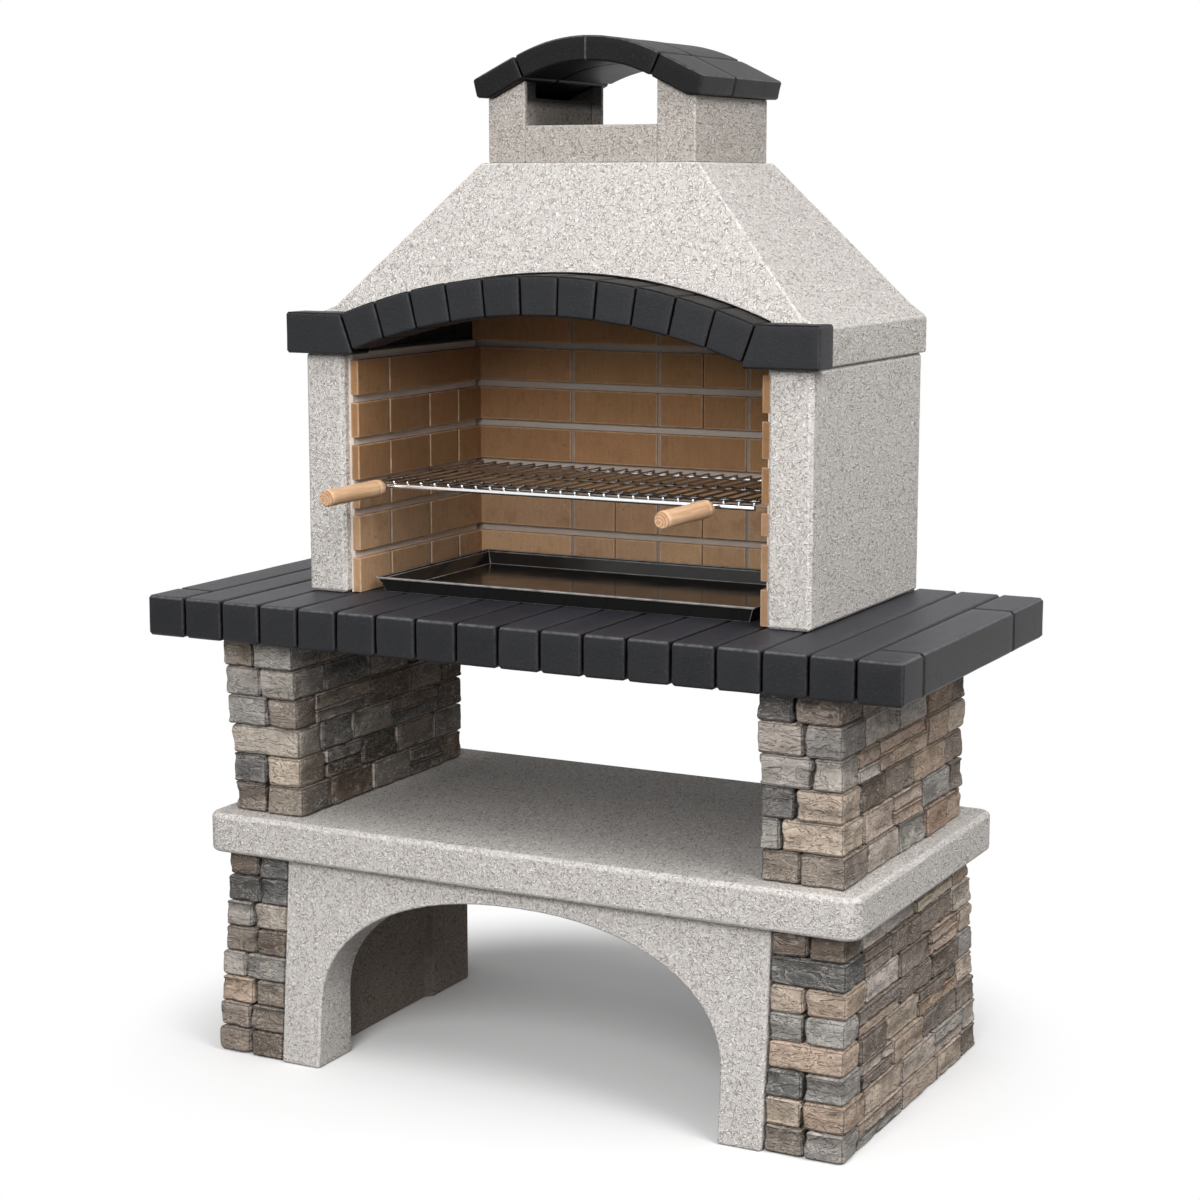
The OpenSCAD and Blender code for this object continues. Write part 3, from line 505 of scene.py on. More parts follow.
def stone_material():
    """Split stone in two tones, with broken layers, chiselled facets and veins, painted shade in
    its hollows and along its rims, and a painted shadow and highlight at each ledge.
    """
    m = Mat("split_stone", rough=0.9, spec=0.1)
    co = m.shifted()
    patch = m.fit(m.noise(30, 5, 0.66, co=co, dist=0.6), 0.48, 0.66, 0.0, 0.8)
    c = m.mix(patch, m.attr("tone", "Color"), m.attr("tone2", "Color"))
    c = m.shade(c, m.streaks((30, 30, 130), 5, 0.7, co, 0.8), 0.78, 1.22)
    fine = m.noise(200, 4, 0.7, co=co)
    c = m.shade(c, fine, 0.64, 1.36)
    # Ledges where layers broke off: steps in the relief, with a painted shadow line below each and
    # a painted highlight above it
    layer = m.streaks((17, 17, 52), 3, 0.55, co, 0.7)
    h = m.times(fine, 0.45)
    for at in (0.4, 0.49, 0.58):
        h = m.plus(h, m.times(m.fit(layer, at - 0.012, at + 0.012), 0.55))
        off = m.math("SUBTRACT", layer, at)
        c = m.mix(m.times(m.band(off, -0.022, -0.008, -0.004, 0.004), 0.5), c, (0.07, 0.06, 0.05))
        c = m.mix(m.times(m.band(off, 0.004, 0.012, 0.018, 0.034), 0.3), c, (0.8, 0.75, 0.69))
    # Small chiselled facets, each tilted its own way
    wide = m.scaled((40, 40, 66), m.sway(0.02, 0.007, co))
    cell = m.add("TexVoronoi", Vector=wide, Scale=1.0).outputs
    way = m.vec("NORMALIZE", m.vec("SUBTRACT", cell["Color"], (0.5, 0.5, 0.5)))
    tilt = m.vec("DOT_PRODUCT", m.vec("SUBTRACT", wide, cell["Position"]), way, "Value")
    pick = m.add("SeparateColor", Color=cell["Color"]).outputs
    c = m.shade(c, pick[2], 0.88, 1.12)
    vein = m.under(m.crease(m.noise(34, 4, 0.6, co=co, dist=1.0)), 0.0, 0.014)
    vein = m.times(vein, m.fit(m.noise(17, co=co), 0.5, 0.62))
    c = m.mix(m.times(vein, 0.3), c, (0.72, 0.68, 0.63))
    # Painted shade in the hollows of the split face
    c = m.shade(c, m.attr("cavity"), 1.05, 0.66)
    worn = m.times(m.attr("edge"), m.fit(m.noise(90, 4, 0.7, co=co), 0.4, 0.6))
    c = m.mix(m.times(worn, 0.35), c, (0.74, 0.69, 0.64))
    # Painted shade along each stone's rim, in the joints between the stones
    c = m.shade(c, m.attr("rim"), 1.0, 0.3)
    ridge = m.crease(m.noise(70, 4, 0.62, co=co, dist=0.5))
    h = m.math("SUBTRACT", h, m.times(ridge, 1.6))
    return m.finish(c, m.plus(h, m.times(tilt, 1.1)), 0.0045, 1.0)


def brick_material():
    """Fire brick: dragged, smudged and pitted, pale at the edges."""
    m = Mat("fire_brick", rough=0.9, spec=0.1)
    co = m.shifted()
    c = m.mix(m.noise(16, 4, 0.6, co=co), (0.335, 0.178, 0.083), (0.395, 0.218, 0.107))
    fine = m.noise(330, 3, 0.65, co=co)
    c = m.shade(m.toned(c), fine, 0.72, 1.28)
    c = m.shade(c, m.streaks((170, 170, 20), 4, 0.65, co), 0.8, 1.2)
    smudge = m.fit(m.noise(34, 5, 0.65, co=co), 0.52, 0.72)
    c = m.mix(m.times(smudge, 0.42), c, (0.2, 0.11, 0.058))
    pit = m.fit(m.noise(150, 2, co=co), 0.68, 0.76)
    c = m.mix(m.times(pit, 0.6), c, (0.07, 0.045, 0.03))
    worn = m.times(m.attr("edge"), m.fit(m.noise(60, 3, co=co), 0.3, 0.7, 0.2, 1.0))
    c = m.mix(m.times(worn, 0.6), c, (0.74, 0.53, 0.37))
    return m.finish(c, fine, 0.0006, 0.6)


def mortar_material(name, level=1.0):
    m = Mat(name, rough=0.92, spec=0.1)
    sand = m.noise(520, 3, 0.7)
    low, high = np.array([0.4, 0.348, 0.3]) * level, np.array([0.5, 0.444, 0.392]) * level
    c = m.shade(m.mix(m.noise(30, 4, 0.6), low, high), sand, 0.75, 1.25)
    return m.finish(c, m.plus(sand, m.noise(120, 3)), 0.0012, 0.8)


def steel_material(name, low, high):
    """Drawn steel, near white where a point carries a painted glint."""
    m = Mat(name, rough=0.22, metal=1.0)
    streak = m.streaks((260, 30, 260), 3)
    c = m.mix(m.attr("tip"), m.mix(streak, (low,) * 3, (high,) * 3), (0.95, 0.95, 0.95))
    m.put(m.shader["Roughness"], m.fit(m.noise(60, 2), 0.3, 0.7, 0.18, 0.27))
    return m.finish(c, streak, 0.0001, 0.2)


def tray_material():
    """Dark enamelled steel, bright at its edges and seams: ground metal and a painted highlight.
    """
    m = Mat("dark_tray_steel", rough=0.13, spec=0.4)
    c = m.mix(m.noise(7, 2), (0.0125, 0.0118, 0.0113), (0.017, 0.0162, 0.0155))
    brush = m.streaks((18, 300, 300), 3)
    c = m.shade(c, brush, 0.88, 1.14)
    worn = m.times(m.attr("worn"), m.fit(m.noise(40, 3), 0.3, 0.6, 0.5, 1.0))
    c = m.mix(m.times(worn, 0.8), c, (0.48, 0.46, 0.44))
    m.put(m.shader["Roughness"], m.fit(m.noise(14, 3), 0.3, 0.7, 0.1, 0.18))
    return m.finish(c, brush, 0.0001, 0.15)


def wood_material():
    """Turned beech, with short flecks and with rings on the end grain."""
    m = Mat("turned_beech", rough=0.48, spec=0.35)
    long = m.streaks((180, 9, 180), 4, dist=0.4)
    c = m.mix(m.fit(long, 0.35, 0.68), linear((232, 194, 158)), linear((204, 160, 122)))
    fleck = m.fit(m.streaks((900, 110, 900), 2, 0.5), 0.6, 0.72)
    c = m.mix(m.times(fleck, 0.35), c, linear((166, 118, 80)))
    end = m.attr("end")
    rings = m.add("TexWave", {"wave_type": "RINGS", "rings_direction": "SPHERICAL"},
                  Vector=m.attr("grain", "Vector"), Scale=58.0, Distortion=1.0, Detail=2.0)
    c = m.mix(m.times(end, 0.6, rings.outputs["Fac"]), c, linear((150, 104, 70)))
    return m.finish(m.shade(c, end, 1.0, 0.9), long, 0.0003, 0.4)


CONCRETE = concrete_material("cast_concrete")
# Darker, warmer copies of the concrete are painted shade: the leaves inside the base arch much
# darker, the chimney under its cap darker, and the hood a little darker
LEAF_CONCRETE = concrete_material("cast_concrete_leaf", 0.38, 1.12)
HOOD_CONCRETE = concrete_material("cast_concrete_hood", 0.95, 1.0, hood_painted_shade)
CHIMNEY_CONCRETE = concrete_material("cast_concrete_chimney", 0.74, 1.03, chimney_painted_shade)
SHELF_CONCRETE = concrete_material("cast_concrete_shelf", 1.0, 1.0, shelf_painted_shade)
CHARCOAL, STONE, BRICK = charcoal_material(), stone_material(), brick_material()
# The side walls' mortar is a lighter copy: painted light in their recessed joints, which lie in
# shade
MORTAR, SIDE_MORTAR = mortar_material("mortar_bed"), mortar_material("mortar_side", 1.6)
UPRIGHT_MORTAR = mortar_material("mortar_upright", 0.62)
STEEL = steel_material("bright_steel", 0.84, 0.94)
ROD_STEEL = steel_material("rod_steel", 0.16, 0.24)
TRAY, WOOD = tray_material(), wood_material()


# ---- split stones

PALETTE = {
    "tan": (198, 180, 163), "warm": (188, 165, 146), "sand": (191, 179, 167),
    "light": (182, 174, 166), "grey": (163, 159, 154), "taupe": (144, 132, 121),
    "brown": (118, 105, 94), "slate": (119, 117, 115), "dark": (102, 100, 98),
    "pale": (203, 192, 182), "clay": (168, 143, 122),
}
STONE_LEVEL = 1.08
SPREAD = ["tan", "taupe", "grey", "sand", "brown", "warm", "tan", "light", "taupe", "sand",
          "clay", "brown", "grey", "taupe", "warm", "pale"]
# Tones of the stones at the front, from the lowest course up: (left, right)
FRONT = {
    "base_stones_left": [("taupe", "brown"), ("taupe", "taupe"), ("warm", "taupe"),
                         ("light", "grey"), ("taupe", "brown"), ("grey", "sand"),
                         ("dark", "slate"), ("brown", "slate")],
    "base_stones_right": [("taupe", "grey"), ("tan", "warm"), ("slate", "grey"),
                          ("warm", "warm"), ("grey", "grey"), ("tan", "warm"),
                          ("dark", "dark"), ("brown", "brown")],
    "upper_stones_left": [("taupe", "taupe"), ("slate", "tan"), ("sand", "sand"),
                          ("grey", "taupe"), ("grey", "light"), ("taupe", "grey")],
    "upper_stones_right": [("taupe", "taupe"), ("grey", "tan"), ("slate", "tan"),
                           ("light", "light"), ("sand", "grey"), ("dark", "taupe")],
}
FRONT_DEPTH = 0.045      # a stone that starts within this of the wall's front belongs to it
END_WIDTH = 0.13         # a narrower stone shows its end
WALL_SHADE = 0.66        # painted shade: the inner sides of the wood store are darker, more so towards the back


def split_face(p, q, near, n, lo, tall, rng):
    """How far each point of a stone moves out (+) or in (-), and how deep its hollows are, in
    mm: lumps, one or two ledges where a layer broke off, and chipped edges."""
    seed = int(rng.integers(1000))
    d = noise(q, 0.055, seed) * 2.0 + noise(q, 0.024, seed + 1) * 1.2
    d += noise(q, 0.011, seed + 2) * 0.45
    d += 1.3 * (1 - 3.2 * np.abs(noise(q, 0.038, seed + 3))).clip(-1, 1) - 1.6
    for s in range(int(rng.integers(1, 3))):
        level = lo[2] + tall * rng.uniform(0.25, 0.75)
        flat = q * (1, 1, 0.25)
        wave = noise(flat, 0.045, seed + 7 + s) * 0.2 + noise(flat, 0.017, seed + 9 + s) * 0.1
        t = smooth((p[:, 2] - level - wave * tall) / 0.0035 + 0.5)
        here = smooth(noise(flat, 0.08, seed + 11 + s) * 2 + 0.8)
        d -= rng.uniform(1.6, 3.4) * (t if rng.random() < 0.6 else 1 - t) * here
    d = np.clip(d, -6.5, 1.0)
    side = 1 - np.abs(n[:, 2])
    chip = smooth(1 - near / 0.016) * np.clip(noise(q, 0.022, seed + 20), 0, 1) * 4
    return d * side - 0.5 * (1 - side) - chip, d


def stones(node, courses):
    """The stones of one wall, each in the place and the size of its solid."""
    boxes = islands(node)
    rng = np.random.default_rng(sum(map(ord, node)))
    lo_all = np.min([b[0] for b in boxes], 0)
    hi_all = np.max([b[1] for b in boxes], 0)
    pitch = (hi_all[2] - lo_all[2]) / courses
    outer, upper = 1 if node.endswith("right") else -1, node.startswith("upper")

    def course(lo, hi):
        return min(courses - 1, int(((lo[2] + hi[2]) / 2 - lo_all[2]) / pitch))

    fronts = {}
    for lo, hi in boxes:
        if lo[1] < lo_all[1] + FRONT_DEPTH:
            fronts.setdefault(course(lo, hi), []).append(lo[0])
    pile = Pile()
    for lo, hi in boxes:
        k, tall = course(lo, hi), hi[2] - lo[2]
        front = lo[1] < lo_all[1] + FRONT_DEPTH
        name = SPREAD[rng.integers(len(SPREAD))]
        second = SPREAD[rng.integers(len(SPREAD))]
        if front:
            place = sorted(fronts[k]).index(lo[0])
            name = FRONT[node][k][min(place, 1)]
            second = name if rng.random() < 0.5 else SPREAD[rng.integers(len(SPREAD))]
            if name in ("dark", "slate"):
                second = "slate"
        r = (0.0065 + 0.0035 * rng.random()) * min(1, tall / 0.045)
        end = hi[0] - lo[0] < END_WIDTH or front
        p, f, n, near = box_grid(lo, hi, (0.007 if end else 0.03, 0.007, 0.0065), r)
        move, d = split_face(p, p + rng.uniform(-9, 9, 3), near, n, lo, tall, rng)
        p = p + n * (move * MM)[:, None]
        p[:, 2] = np.clip(p[:, 2], max(lo[2], 0.0), hi[2])
        jitter = rng.uniform(0.9, 1.1)
        tone = STONE_LEVEL * linear(PALETTE[name]) * jitter * rng.uniform(0.985, 1.015, 3)
        tone2 = 0.6 * tone + 0.4 * STONE_LEVEL * linear(PALETTE[second])
        # Painted shade on the inward faces of the upper walls, deepening towards the back
        if upper:
            inside = smooth(-n[:, 0] * outer * 2 - 0.4)
            inside = inside * smooth((p[:, 1] - lo_all[1]) / 0.25 + 0.4)
            tone = tone * (1 - WALL_SHADE * inside)[:, None]
            tone2 = tone2 * (1 - WALL_SHADE * inside)[:, None]
        side = 1 - np.abs(n[:, 2])
        # The hollows and the rims carry painted shade; the worn edges are paler
        pile.add(p, f, tone=tone, tone2=tone2, edge=smooth(1 - near / 0.011) * side,
                 cavity=smooth(-(d + 1.5) / 5.0) * side, rim=smooth(1.4 - near / 0.0026),
                 shift=rng.uniform(-5, 5, 3))
    pile.build("stone_" + node, "masonry", "split_stone", STONE, (node,))


for wall, courses in (("base_stones_left", 8), ("base_stones_right", 8),
                      ("upper_stones_left", 6), ("upper_stones_right", 6)):
    stones(wall, courses)


# ---- charcoal blocks

JOINT = 0.45 * MM        # half of the open joint between two blocks
SLIP = 0.6 * MM          # from the end of a row of blocks to the block beyond it
PLANK_EDGE, WEDGE_EDGE, TILE_EDGE = 6 * MM, 5 * MM, 4 * MM
# How much dust and a painted sheen lighten the worktop's tops
TOP_DUST_AND_SHEEN = (1.0, 0.97, 1.15)
LINTEL_LEVEL = 1.25      # against the worktop's 1
CAP_LEVEL = 0.25


def block_look(pile, lo, hi, r, cell, rng, warp=None, joint=False, level=1.0, inner=(),
               dust_and_sheen=(0, 0, 0)):
    """A bevelled block with a slightly uneven skin, bent by warp to its place. With joint, a
    closed joint shows as a fine groove at x = 0. The sides in inner, as (axis, sign), face a
    neighbour and get painted shade, which darkens the joint. Dust and a painted sheen lighten the
    top."""
    extra = (np.array([-2.5, -0.8, 0, 0.8, 2.5]) * MM if joint else (), (), ())
    p, f, n, near = box_grid(lo, hi, cell, r, (0, 0.5, 1), 1.15, extra)
    q, x0 = p + rng.uniform(-9, 9, 3), p[:, 0]
    uneven = noise(q, 0.05, 3) * 0.45 + noise(q, 0.018, 5) * 0.3
    worn = smooth(1 - near / (1.4 * r)) * np.clip(noise(q, 0.016, 8), 0, 1)
    groove = smooth(1 - np.abs(x0) / (0.8 * MM)) * 0.9 if joint else 0
    p = p + n * ((np.minimum(uneven, 0.1) - 0.25 - 1.2 * worn - groove) * MM)[:, None]
    if warp is not None:
        p = warp(p)
    tone = np.ones(3) * rng.uniform(0.88, 1.14) * level
    # Painted shade on the sides that face a neighbour, in the joint
    dark = np.zeros(len(p))
    for k, sign in inner:
        start = np.where(n[:, 2] > 0.2, 0.25, 0.68)
        dark = np.maximum(dark, smooth((n[:, k] * sign - start) / 0.35))
    edge = smooth(1.2 - near / r) * (1 - dark) * smooth(0.35 + n[:, 2])
    if joint:
        edge = np.maximum(edge, smooth(2 - np.abs(x0) / (1.2 * MM)) * 0.8)
    tone = tone[None, :] * (1 - 0.85 * dark)[:, None]
    # Dust and a painted sheen lighten the faces that look up
    tone = tone * (1 + smooth(n[:, 2] * 2 - 1)[:, None] * np.array(dust_and_sheen))
    pile.add(p, f, tone=tone, edge=edge, shift=rng.uniform(-5, 5, 3))


def blocks_done(pile, node, mirrored=False):
    if mirrored:
        pile.f = [q[::-1] for q in pile.f]
    pile.build("charcoal_" + node, "masonry", "charcoal_block", CHARCOAL, (node,), weighted=True)


# The worktop
rng = np.random.default_rng(11)
ends = [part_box("worktop_blocks_" + side) for side in ("left", "right")]
top_lo, top_hi = np.min([b[0] for b in ends], 0), np.max([b[1] for b in ends], 0)
for node in ("worktop_planks", "worktop_blocks_left", "worktop_blocks_right"):
    pile = Pile()
    for lo, hi in islands(node):
        lo, hi = np.array(lo), np.array(hi)
        lo[:2] += JOINT
        hi[:2] -= JOINT
        hi[2] -= rng.uniform(0, 0.5) * MM
        inner = [(k, s) for k in (0, 1) for s in (-1, 1)
                 if s * (lo, hi)[s > 0][k] < s * (top_lo, top_hi)[s > 0][k] - 2 * MM]
        block_look(pile, lo, hi, PLANK_EDGE, (0.02, 0.04, 0.02), rng, inner=inner, dust_and_sheen=TOP_DUST_AND_SHEEN)
    blocks_done(pile, node)


def ring_warp(zc, radius):
    """Bends a straight row of blocks, laid at z = 0 from x = 0, round a centre at height zc."""
    def warp(p):
        a = p[:, 0] / radius
        r = radius + p[:, 2]
        return np.stack([r * np.sin(a), p[:, 1], zc + r * np.cos(a)], 1)
    return warp


# The lintel's arch
R_IN, R_OUT, WEDGES, HALF = 1.105, 1.178, 11, math.radians(20.6)
BLOCK_HEIGHT = 0.076     # of the lintel's end blocks
z_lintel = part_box("lintel_block_left")[0].z
z_ring = z_lintel + BLOCK_HEIGHT - R_OUT * math.cos(HALF)
w_lo, w_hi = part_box("lintel_wedges")
pile = Pile()
mid, step = (R_IN + R_OUT) / 2, 2 * HALF / WEDGES
for k in range(WEDGES):
    a0, a1 = -HALF + k * step, -HALF + (k + 1) * step
    proud = rng.uniform(0, 1.0) * MM
    lo = np.array([a0 * mid + JOINT, w_lo.y + proud, R_IN - mid + rng.uniform(0, 0.6) * MM])
    hi = np.array([a1 * mid - JOINT, w_hi.y, R_OUT - mid - rng.uniform(0.6, 1.2) * MM])
    block_look(pile, lo, hi, WEDGE_EDGE, (0.012, 0.03, 0.012), rng, ring_warp(z_ring, mid),
               level=LINTEL_LEVEL, inner=((0, -1), (0, 1), (2, 1)))
blocks_done(pile, "lintel_wedges")

# Its end blocks, whose inner end leans with the ring
for side, node in ((-1, "lintel_block_left"), (1, "lintel_block_right")):
    lo, hi = corners(node)
    foot = R_OUT * math.sin(HALF) - BLOCK_HEIGHT * math.tan(HALF) + SLIP
    outer = max(abs(lo[0]), abs(hi[0]))

    def lean(p, side=side, foot=foot, outer=outer):
        t = (p[:, 0] - foot) / (outer - foot)
        x = p[:, 0] + (1 - t) * (p[:, 2] - z_lintel) * math.tan(HALF)
        return np.stack([side * x, p[:, 1], p[:, 2]], 1)

    pile = Pile()
    block_look(pile, np.array([foot, lo[1], lo[2]]), np.array([outer, hi[1], hi[2]]), WEDGE_EDGE,
               (0.014, 0.02, 0.014), rng, lean, level=LINTEL_LEVEL, inner=((0, -1), (2, 1)))
    blocks_done(pile, node, side < 0)

# The cap's curved tiles
CAP_OUT, CAP_IN, CAP_HALF = 0.340, 0.295, math.radians(25.6)
z_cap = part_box("cap_tiles_middle")[1].z - CAP_OUT
rows = sorted({(round(b[0][1], 4), round(b[1][1], 4)) for b in islands("cap_tiles_middle")})
# The side of each row that faces the other row
facing = {row: (1, 1 if row == rows[0] else -1) for row in rows}
pile = Pile()
mid = (CAP_OUT + CAP_IN) / 2
for y0, y1 in rows:
    lo = np.array([-CAP_HALF * mid + JOINT, y0 + JOINT, CAP_IN - mid])
    hi = np.array([CAP_HALF * mid - JOINT, y1 - JOINT, CAP_OUT - mid])
    block_look(pile, lo, hi, TILE_EDGE, (0.012, 0.03, 0.014), rng, ring_warp(z_cap, mid), True,
               CAP_LEVEL, ((0, -1), (0, 1), facing[y0, y1]))
blocks_done(pile, "cap_tiles_middle")

# Its end tiles, which slope on from the curve to a level foot
FOOT_X = 0.198           # where the underside levels out
END_SLANT = 8 * MM       # the outer end leans out by this
slant = math.tan(CAP_HALF)
top_x, in_x = CAP_OUT * math.sin(CAP_HALF) + SLIP, CAP_IN * math.sin(CAP_HALF) + SLIP
top_z = z_cap + CAP_OUT * math.cos(CAP_HALF)
for side, node in ((-1, "cap_tiles_left"), (1, "cap_tiles_right")):
    e_lo, e_hi = corners(node)
    edge_x = max(abs(e_lo[0]), abs(e_hi[0]))
    foot_z = e_lo[2]
    wide, high = edge_x - in_x, CAP_OUT - CAP_IN

    def slope(p, side=side):
        """p.x runs outwards from 0 to wide and p.z upwards from 0 to high."""
        u, w = p[:, 0] / wide, p[:, 2] / high
        inner = in_x + (top_x - in_x) * w
        outer = edge_x - END_SLANT * (1 - w)
        x = inner + (outer - inner) * u
        over = top_z - (x - top_x) * slant
        under = np.maximum(foot_z, foot_z + (FOOT_X - x) * slant)
        return np.stack([side * x, p[:, 1], under + (over - under) * w], 1)

    pile = Pile()
    for y0, y1 in rows:
        block_look(pile, np.array([JOINT, y0 + JOINT, 0]), np.array([wide, y1 - JOINT, high]),
                   TILE_EDGE, (0.009, 0.03, 0.012), rng, slope, level=CAP_LEVEL,
                   inner=((0, -1), facing[y0, y1]))
    blocks_done(pile, node, side < 0)


# ---- fire bricks

ASH_AND_PAINTED_LIGHT = np.array([0.33, 0.52, 0.82])    # what ash and painted light add to the colour of the bricks by the embers
ASH_AND_PAINTED_LIGHT_TOP, SMOKE_TOP = 1.14, 1.32       # heights at which ash with its painted light, and smoke, end
for node in ("bricks_left", "bricks_right", "bricks_back"):
    pile = Pile()
    for lo, hi in islands(node):
        p, f, n, near = box_grid(lo, hi, 0.2, 2 * MM, (0, 0.45, 1, 1.9))
        # Pale with ash by the embers and brightened there by painted light, and a little smoked
        # below the lintel
        z = (lo[2] + hi[2]) / 2
        ash_and_light, smoke = smooth((ASH_AND_PAINTED_LIGHT_TOP - z) / 0.12), smooth((SMOKE_TOP - z) / 0.08)
        tone = (1 - 0.1 * smoke) * (1 + ash_and_light * ASH_AND_PAINTED_LIGHT)
        pile.add(p, f, n, tone=tone * rng.uniform(0.88, 1.1) * rng.uniform(0.98, 1.02, 3),
                 edge=smooth(1.2 - near / 0.0028), shift=rng.uniform(-5, 5, 3))
    pile.build("brick_" + node, "masonry", "fire_brick", BRICK, (node,), normals=True)

# The upright joints are filled nearly to the face
LEAST_JOINT = 4 * MM     # closer bricks are the halves of one
FILL = (2.2 * MM, 13 * MM)
pile = Pile()
for node, along, out, sign in (("bricks_left", 1, 0, 1), ("bricks_right", 1, 0, -1),
                               ("bricks_back", 0, 1, -1)):
    courses = {}
    for lo, hi in islands(node):
        courses.setdefault(round(lo[2], 3), []).append((lo, hi))
    for row in courses.values():
        row.sort(key=lambda b: b[0][along])
        for (lo, hi), (lo2, hi2) in zip(row, row[1:]):
            if lo2[along] - hi[along] < LEAST_JOINT:
                continue
            a, b = lo.copy(), hi.copy()
            a[along], b[along] = hi[along], lo2[along]
            face = hi[out] if sign > 0 else lo[out]
            a[out], b[out] = sorted(face - sign * depth for depth in FILL)
            pile.add(*box_grid(a, b, 0.2, 0.8 * MM, (0, 1))[:3])
pile.build("mortar_uprights", "masonry", "mortar", UPRIGHT_MORTAR, normals=True)
for node, mat in (("mortar_left", SIDE_MORTAR), ("mortar_right", SIDE_MORTAR),
                  ("mortar_back", MORTAR)):
    paint(node, mat)


# ---- cast concrete

def soft_skirt(bm):
    """The hood's side slopes run out more gently into the skirt at the front."""
    lo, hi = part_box("hood")
    for v in bm.verts:
        if (0.004 < hi.x - abs(v.co.x) < 0.03 and abs(v.co.z - lo.z - 0.089) < 0.004
                and v.co.y < 0):
            v.co -= Vector((math.copysign(24, v.co.x), 2, 4)) * MM


# Each with the size in mm of its rounded edges
for node, width, mat in (("base_leaf_left", 4, LEAF_CONCRETE),
                         ("base_leaf_right", 4, LEAF_CONCRETE),
                         ("front_arch_panel", 5, CONCRETE),
                         ("shelf", 3.5, SHELF_CONCRETE),
                         ("firebox_wall_left", 2.2, CONCRETE),
                         ("firebox_wall_right", 2.2, CONCRETE),
                         ("firebox_back_wall", 1.5, CONCRETE),
                         ("hood", 4, HOOD_CONCRETE),
                         ("chimney_side_left", 3, CHIMNEY_CONCRETE),
                         ("chimney_side_right", 3, CHIMNEY_CONCRETE),
                         ("chimney_sill_front", 2.5, CHIMNEY_CONCRETE),
                         ("chimney_sill_back", 2.5, CHIMNEY_CONCRETE)):
    dress(node, "concrete_" + node, "masonry", mat, width * MM,
          move=soft_skirt if node == "hood" else None)


# ---- grill

def bars(node, r, dome, sides, mat, bright):
    """The round bars of one node. bright says which points of a bar carry a painted glint."""
    pile = Pile()
    for lo, hi in islands(node):
        k = int(np.argmax(hi - lo))
        a = (lo + hi) / 2
        b = a.copy()
        a[k], b[k] = lo[k], hi[k]
        pts, faces = tube(a, b, r * MM, sides, dome)
        pile.add(pts, faces, tip=bright(pts, lo, hi).astype(float))
    pile.build("steel_" + node, "grill", "grill_steel", mat, (node,), sharp=60)


rear_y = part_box("grill_cross_bars")[1].y
bars("grill_front_bar", 5, 0.5, 16, STEEL, lambda pts, lo, hi: np.zeros(len(pts)))
# Painted glints: all along the rear cross bar, and on the front ends of the rods
bars("grill_cross_bars", 4, 0.5, 16, ROD_STEEL,
     lambda pts, lo, hi: np.full(len(pts), hi[1] > rear_y - MM))
bars("grill_rods", 2.5, 0.8, 12, ROD_STEEL, lambda pts, lo, hi: pts[:, 1] < lo[1] + 3 * MM)
for node in ("grill_tang_left", "grill_tang_right"):
    paint(node, STEEL)

# The turned grip, from its rear shoulder to its chamfered nose: share of the length and of the
# radius, with a groove cut round it near the shoulder
GRIP = [(0, 0.27), (0, 0.74), (0.006, 0.81), (0.02, 0.9), (0.05, 0.96), (0.085, 0.99),
        (0.103, 0.985), (0.111, 0.945), (0.118, 0.9), (0.1255, 0.945), (0.134, 0.985),
        (0.16, 0.995), (0.21, 0.985), (0.34, 0.95), (0.6, 0.925), (0.78, 0.94),
        (0.9, 0.965), (0.968, 0.97), (0.979, 0.945), (0.995, 0.84), (1, 0.8), (1, 0.4),
        (1, 0.002)]
GRIP_SIDES = 48
for node in ("grill_grip_left", "grill_grip_right"):
    lo, hi = corners(node)
    c, length, rad = (lo + hi) / 2, hi[1] - lo[1], (hi[0] - lo[0]) / 2
    t = ring(GRIP_SIDES)
    pts = np.concatenate([np.stack([c[0] + q * rad * np.cos(t),
                                    np.full(GRIP_SIDES, hi[1] - s * length),
                                    c[2] + q * rad * np.sin(t)], 1) for s, q in GRIP])
    end = (pts[:, 1] < lo[1] + 1.2 * MM).astype(float)
    # The rings of the end grain lie round a heart beside the grip's middle
    grain = (pts - c) * (1, 0, 1) + (0.006, 0, 0.004)
    make("wood_" + node, pts, ring_faces(len(GRIP), GRIP_SIDES), "grill", WOOD,
         (node,), {"end": end, "grain": grain}, sharp=35)


# ---- ember tray

for node in ("tray_pan", "tray_rim"):
    dress(node, "steel_" + node, "tray", TRAY, 0.8 * MM, 2)
# The ground weld up each corner of the pan, inside, bright with a painted highlight
lo, hi = corners("tray_pan")
c, h = (lo + hi) / 2, (hi - lo) / 2
FOOT_INSET, TOP_INSET, FLOOR_UP, WELD = 13.4 * MM, 2.6 * MM, 2.4 * MM, 1.3 * MM
pile = Pile()
for x in (-1, 1):
    for y in (-1, 1):
        foot = c + (h - (FOOT_INSET, FOOT_INSET, 0)) * (x, y, -1) + (0, 0, FLOOR_UP)
        top = c + (h - (TOP_INSET, TOP_INSET, 0)) * (x, y, 1)
        pts, faces = tube(foot, top, WELD, 10)
        pile.add(pts, faces, worn=np.ones(len(pts)))
pile.build("steel_tray_seams", "tray", "tray_steel", TRAY, sharp=60)


# ---- floor, light and camera

SHADOW_ROUND = (0.62, 0.98)    # metres from the middle between which the floor fades to white


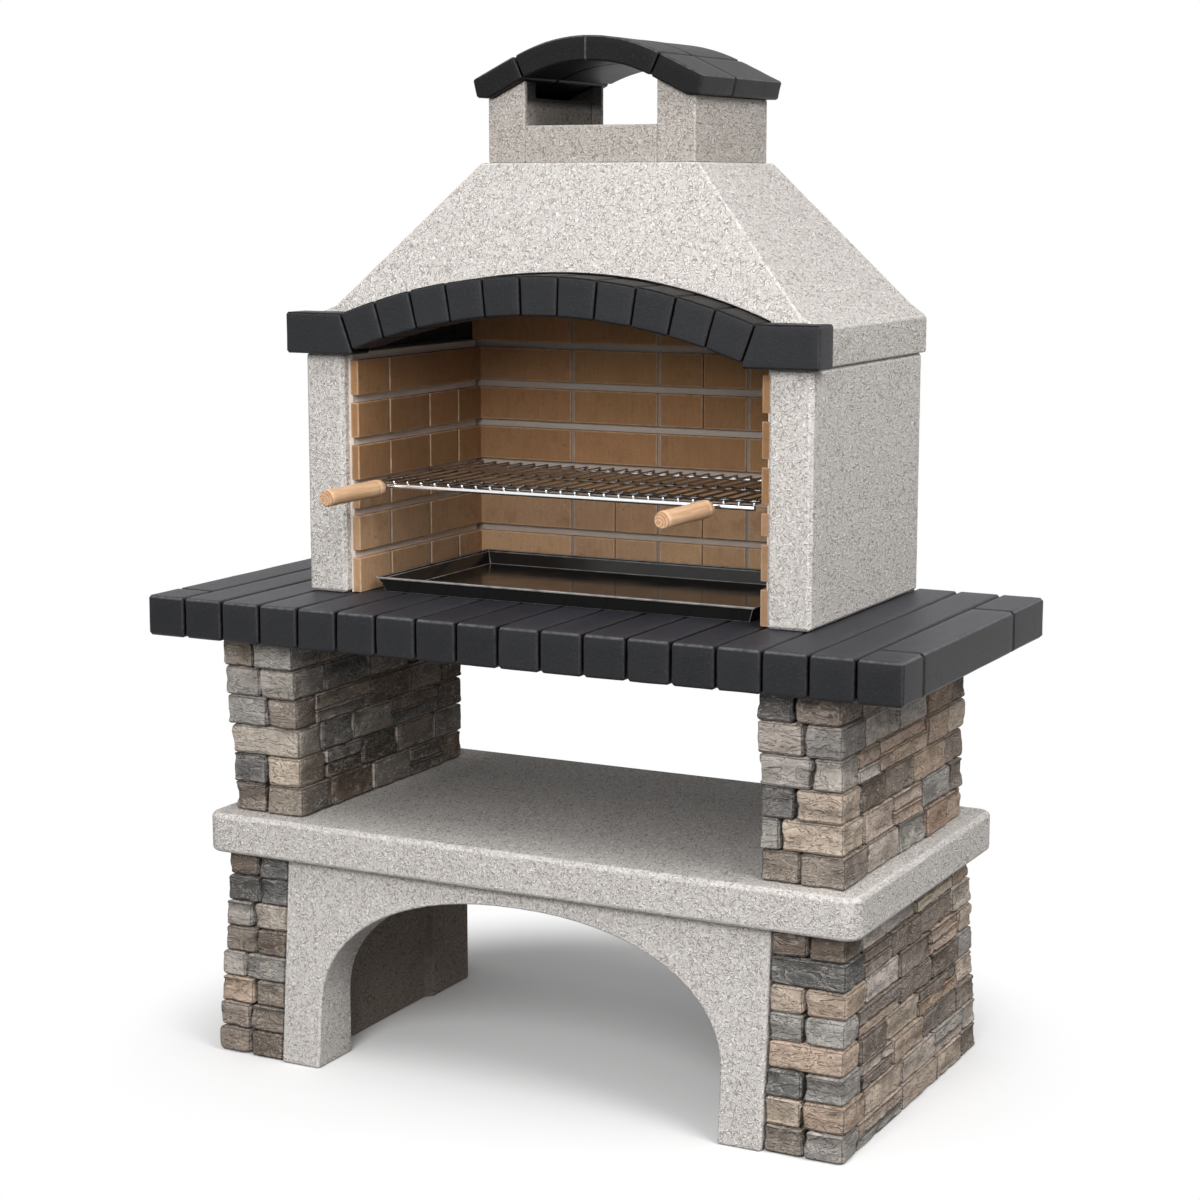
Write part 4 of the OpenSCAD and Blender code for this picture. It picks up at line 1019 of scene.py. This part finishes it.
def floor_material():
    """A pale floor that keeps the object's shadow. Where it is seen or mirrored it is brighter,
    and it fades to the white of the backdrop. What it throws back onto the object is low."""
    m = bpy.data.materials.new("studio_floor")
    m.use_nodes = True
    m.node_tree.nodes.clear()
    n = Nodes(m.node_tree)
    ray = n.add("LightPath").outputs
    seen = n.math("MAXIMUM", ray["Is Camera Ray"], ray["Is Glossy Ray"])
    tone = n.add("BsdfDiffuse", Color=n.mix(seen, (0.2,) * 3, (0.88,) * 3)).outputs[0]
    lift = n.add("BsdfDiffuse", Color=n.mix(seen, (0,) * 3, (0.04,) * 3)).outputs[0]
    ground = n.join("AddShader", (tone, lift)).outputs[0]
    away = n.vec("LENGTH", n.add("TexCoord").outputs["Object"], out="Value")
    far = n.times(n.fit(away, *SHADOW_ROUND, kind="SMOOTHSTEP"), seen)
    white = n.add("Emission", Color=WHITE, Strength=1.0).outputs[0]
    n.add("OutputMaterial", Surface=n.join("MixShader", (far, ground, white)).outputs[0])
    return m


def studio_world():
    """Soft light, weaker from behind and the left than from the front and the right, and white
    wherever it is seen, mirrored or seen through something."""
    world = bpy.data.worlds.new("studio")
    bpy.context.scene.world = world
    world.use_nodes = True
    world.node_tree.nodes.clear()
    n = Nodes(world.node_tree)
    way = n.add("TexCoord").outputs["Generated"]
    front = n.vec("DOT_PRODUCT", way, (0.45, -0.85, 0), "Value")
    level = n.fit(front, -0.6, 0.4, 0.37, 0.62, "SMOOTHSTEP")
    soft = n.add("Background", Color=WHITE, Strength=level).outputs[0]
    back = n.add("Background", Color=WHITE, Strength=1.0).outputs[0]
    ray = n.add("LightPath").outputs
    seen = n.math("MAXIMUM", ray["Is Camera Ray"], ray["Is Transmission Ray"])
    seen = n.math("MAXIMUM", seen, ray["Is Glossy Ray"])
    n.add("OutputWorld", Surface=n.join("MixShader", (seen, soft, back)).outputs[0])


def area(name, place, target, size, power):
    data = bpy.data.lights.new(name, "AREA")
    data.shape = "DISK"
    data.size = size
    data.energy = power
    obj = bpy.data.objects.new(name, data)
    obj.location = place
    obj.rotation_mode = "QUATERNION"
    obj.rotation_quaternion = (Vector(target) - Vector(place)).to_track_quat("-Z", "Y")
    bpy.context.scene.collection.objects.link(obj)


bm = bmesh.new()
bmesh.ops.create_circle(bm, cap_ends=True, segments=96, radius=30)
me = bpy.data.meshes.new("floor")
bm.to_mesh(me)
bm.free()
floor = bpy.data.objects.new("floor", me)
floor.location = (0, 0, -0.0002)
bpy.context.scene.collection.objects.link(floor)
me.materials.append(floor_material())

studio_world()
area("key", (4.08, -1.5, 5.14), (0, 0, 1.0), 3.0, 185)
area("fill", (0.76, -4.28, 2.98), (0, 0, 0.95), 2.2, 145)

# The photograph's angle: turned to the object's right by TURN, looking down by DOWN
TURN, DOWN = math.radians(27.301), math.radians(9.2645)
data = bpy.data.cameras.new("camera")
data.lens = 75.57
data.sensor_width = 36
data.clip_end = 100
camera = bpy.data.objects.new("camera", data)
camera.location = (2.1328, -4.1137, 1.6296)
look = Vector((-math.sin(TURN) * math.cos(DOWN), math.cos(TURN) * math.cos(DOWN), -math.sin(DOWN)))
camera.rotation_mode = "QUATERNION"
camera.rotation_quaternion = look.to_track_quat("-Z", "Y")
bpy.context.scene.collection.objects.link(camera)
bpy.context.scene.camera = camera
bpy.context.scene.view_settings.view_transform = "Standard"

bpy.context.view_layer.update()
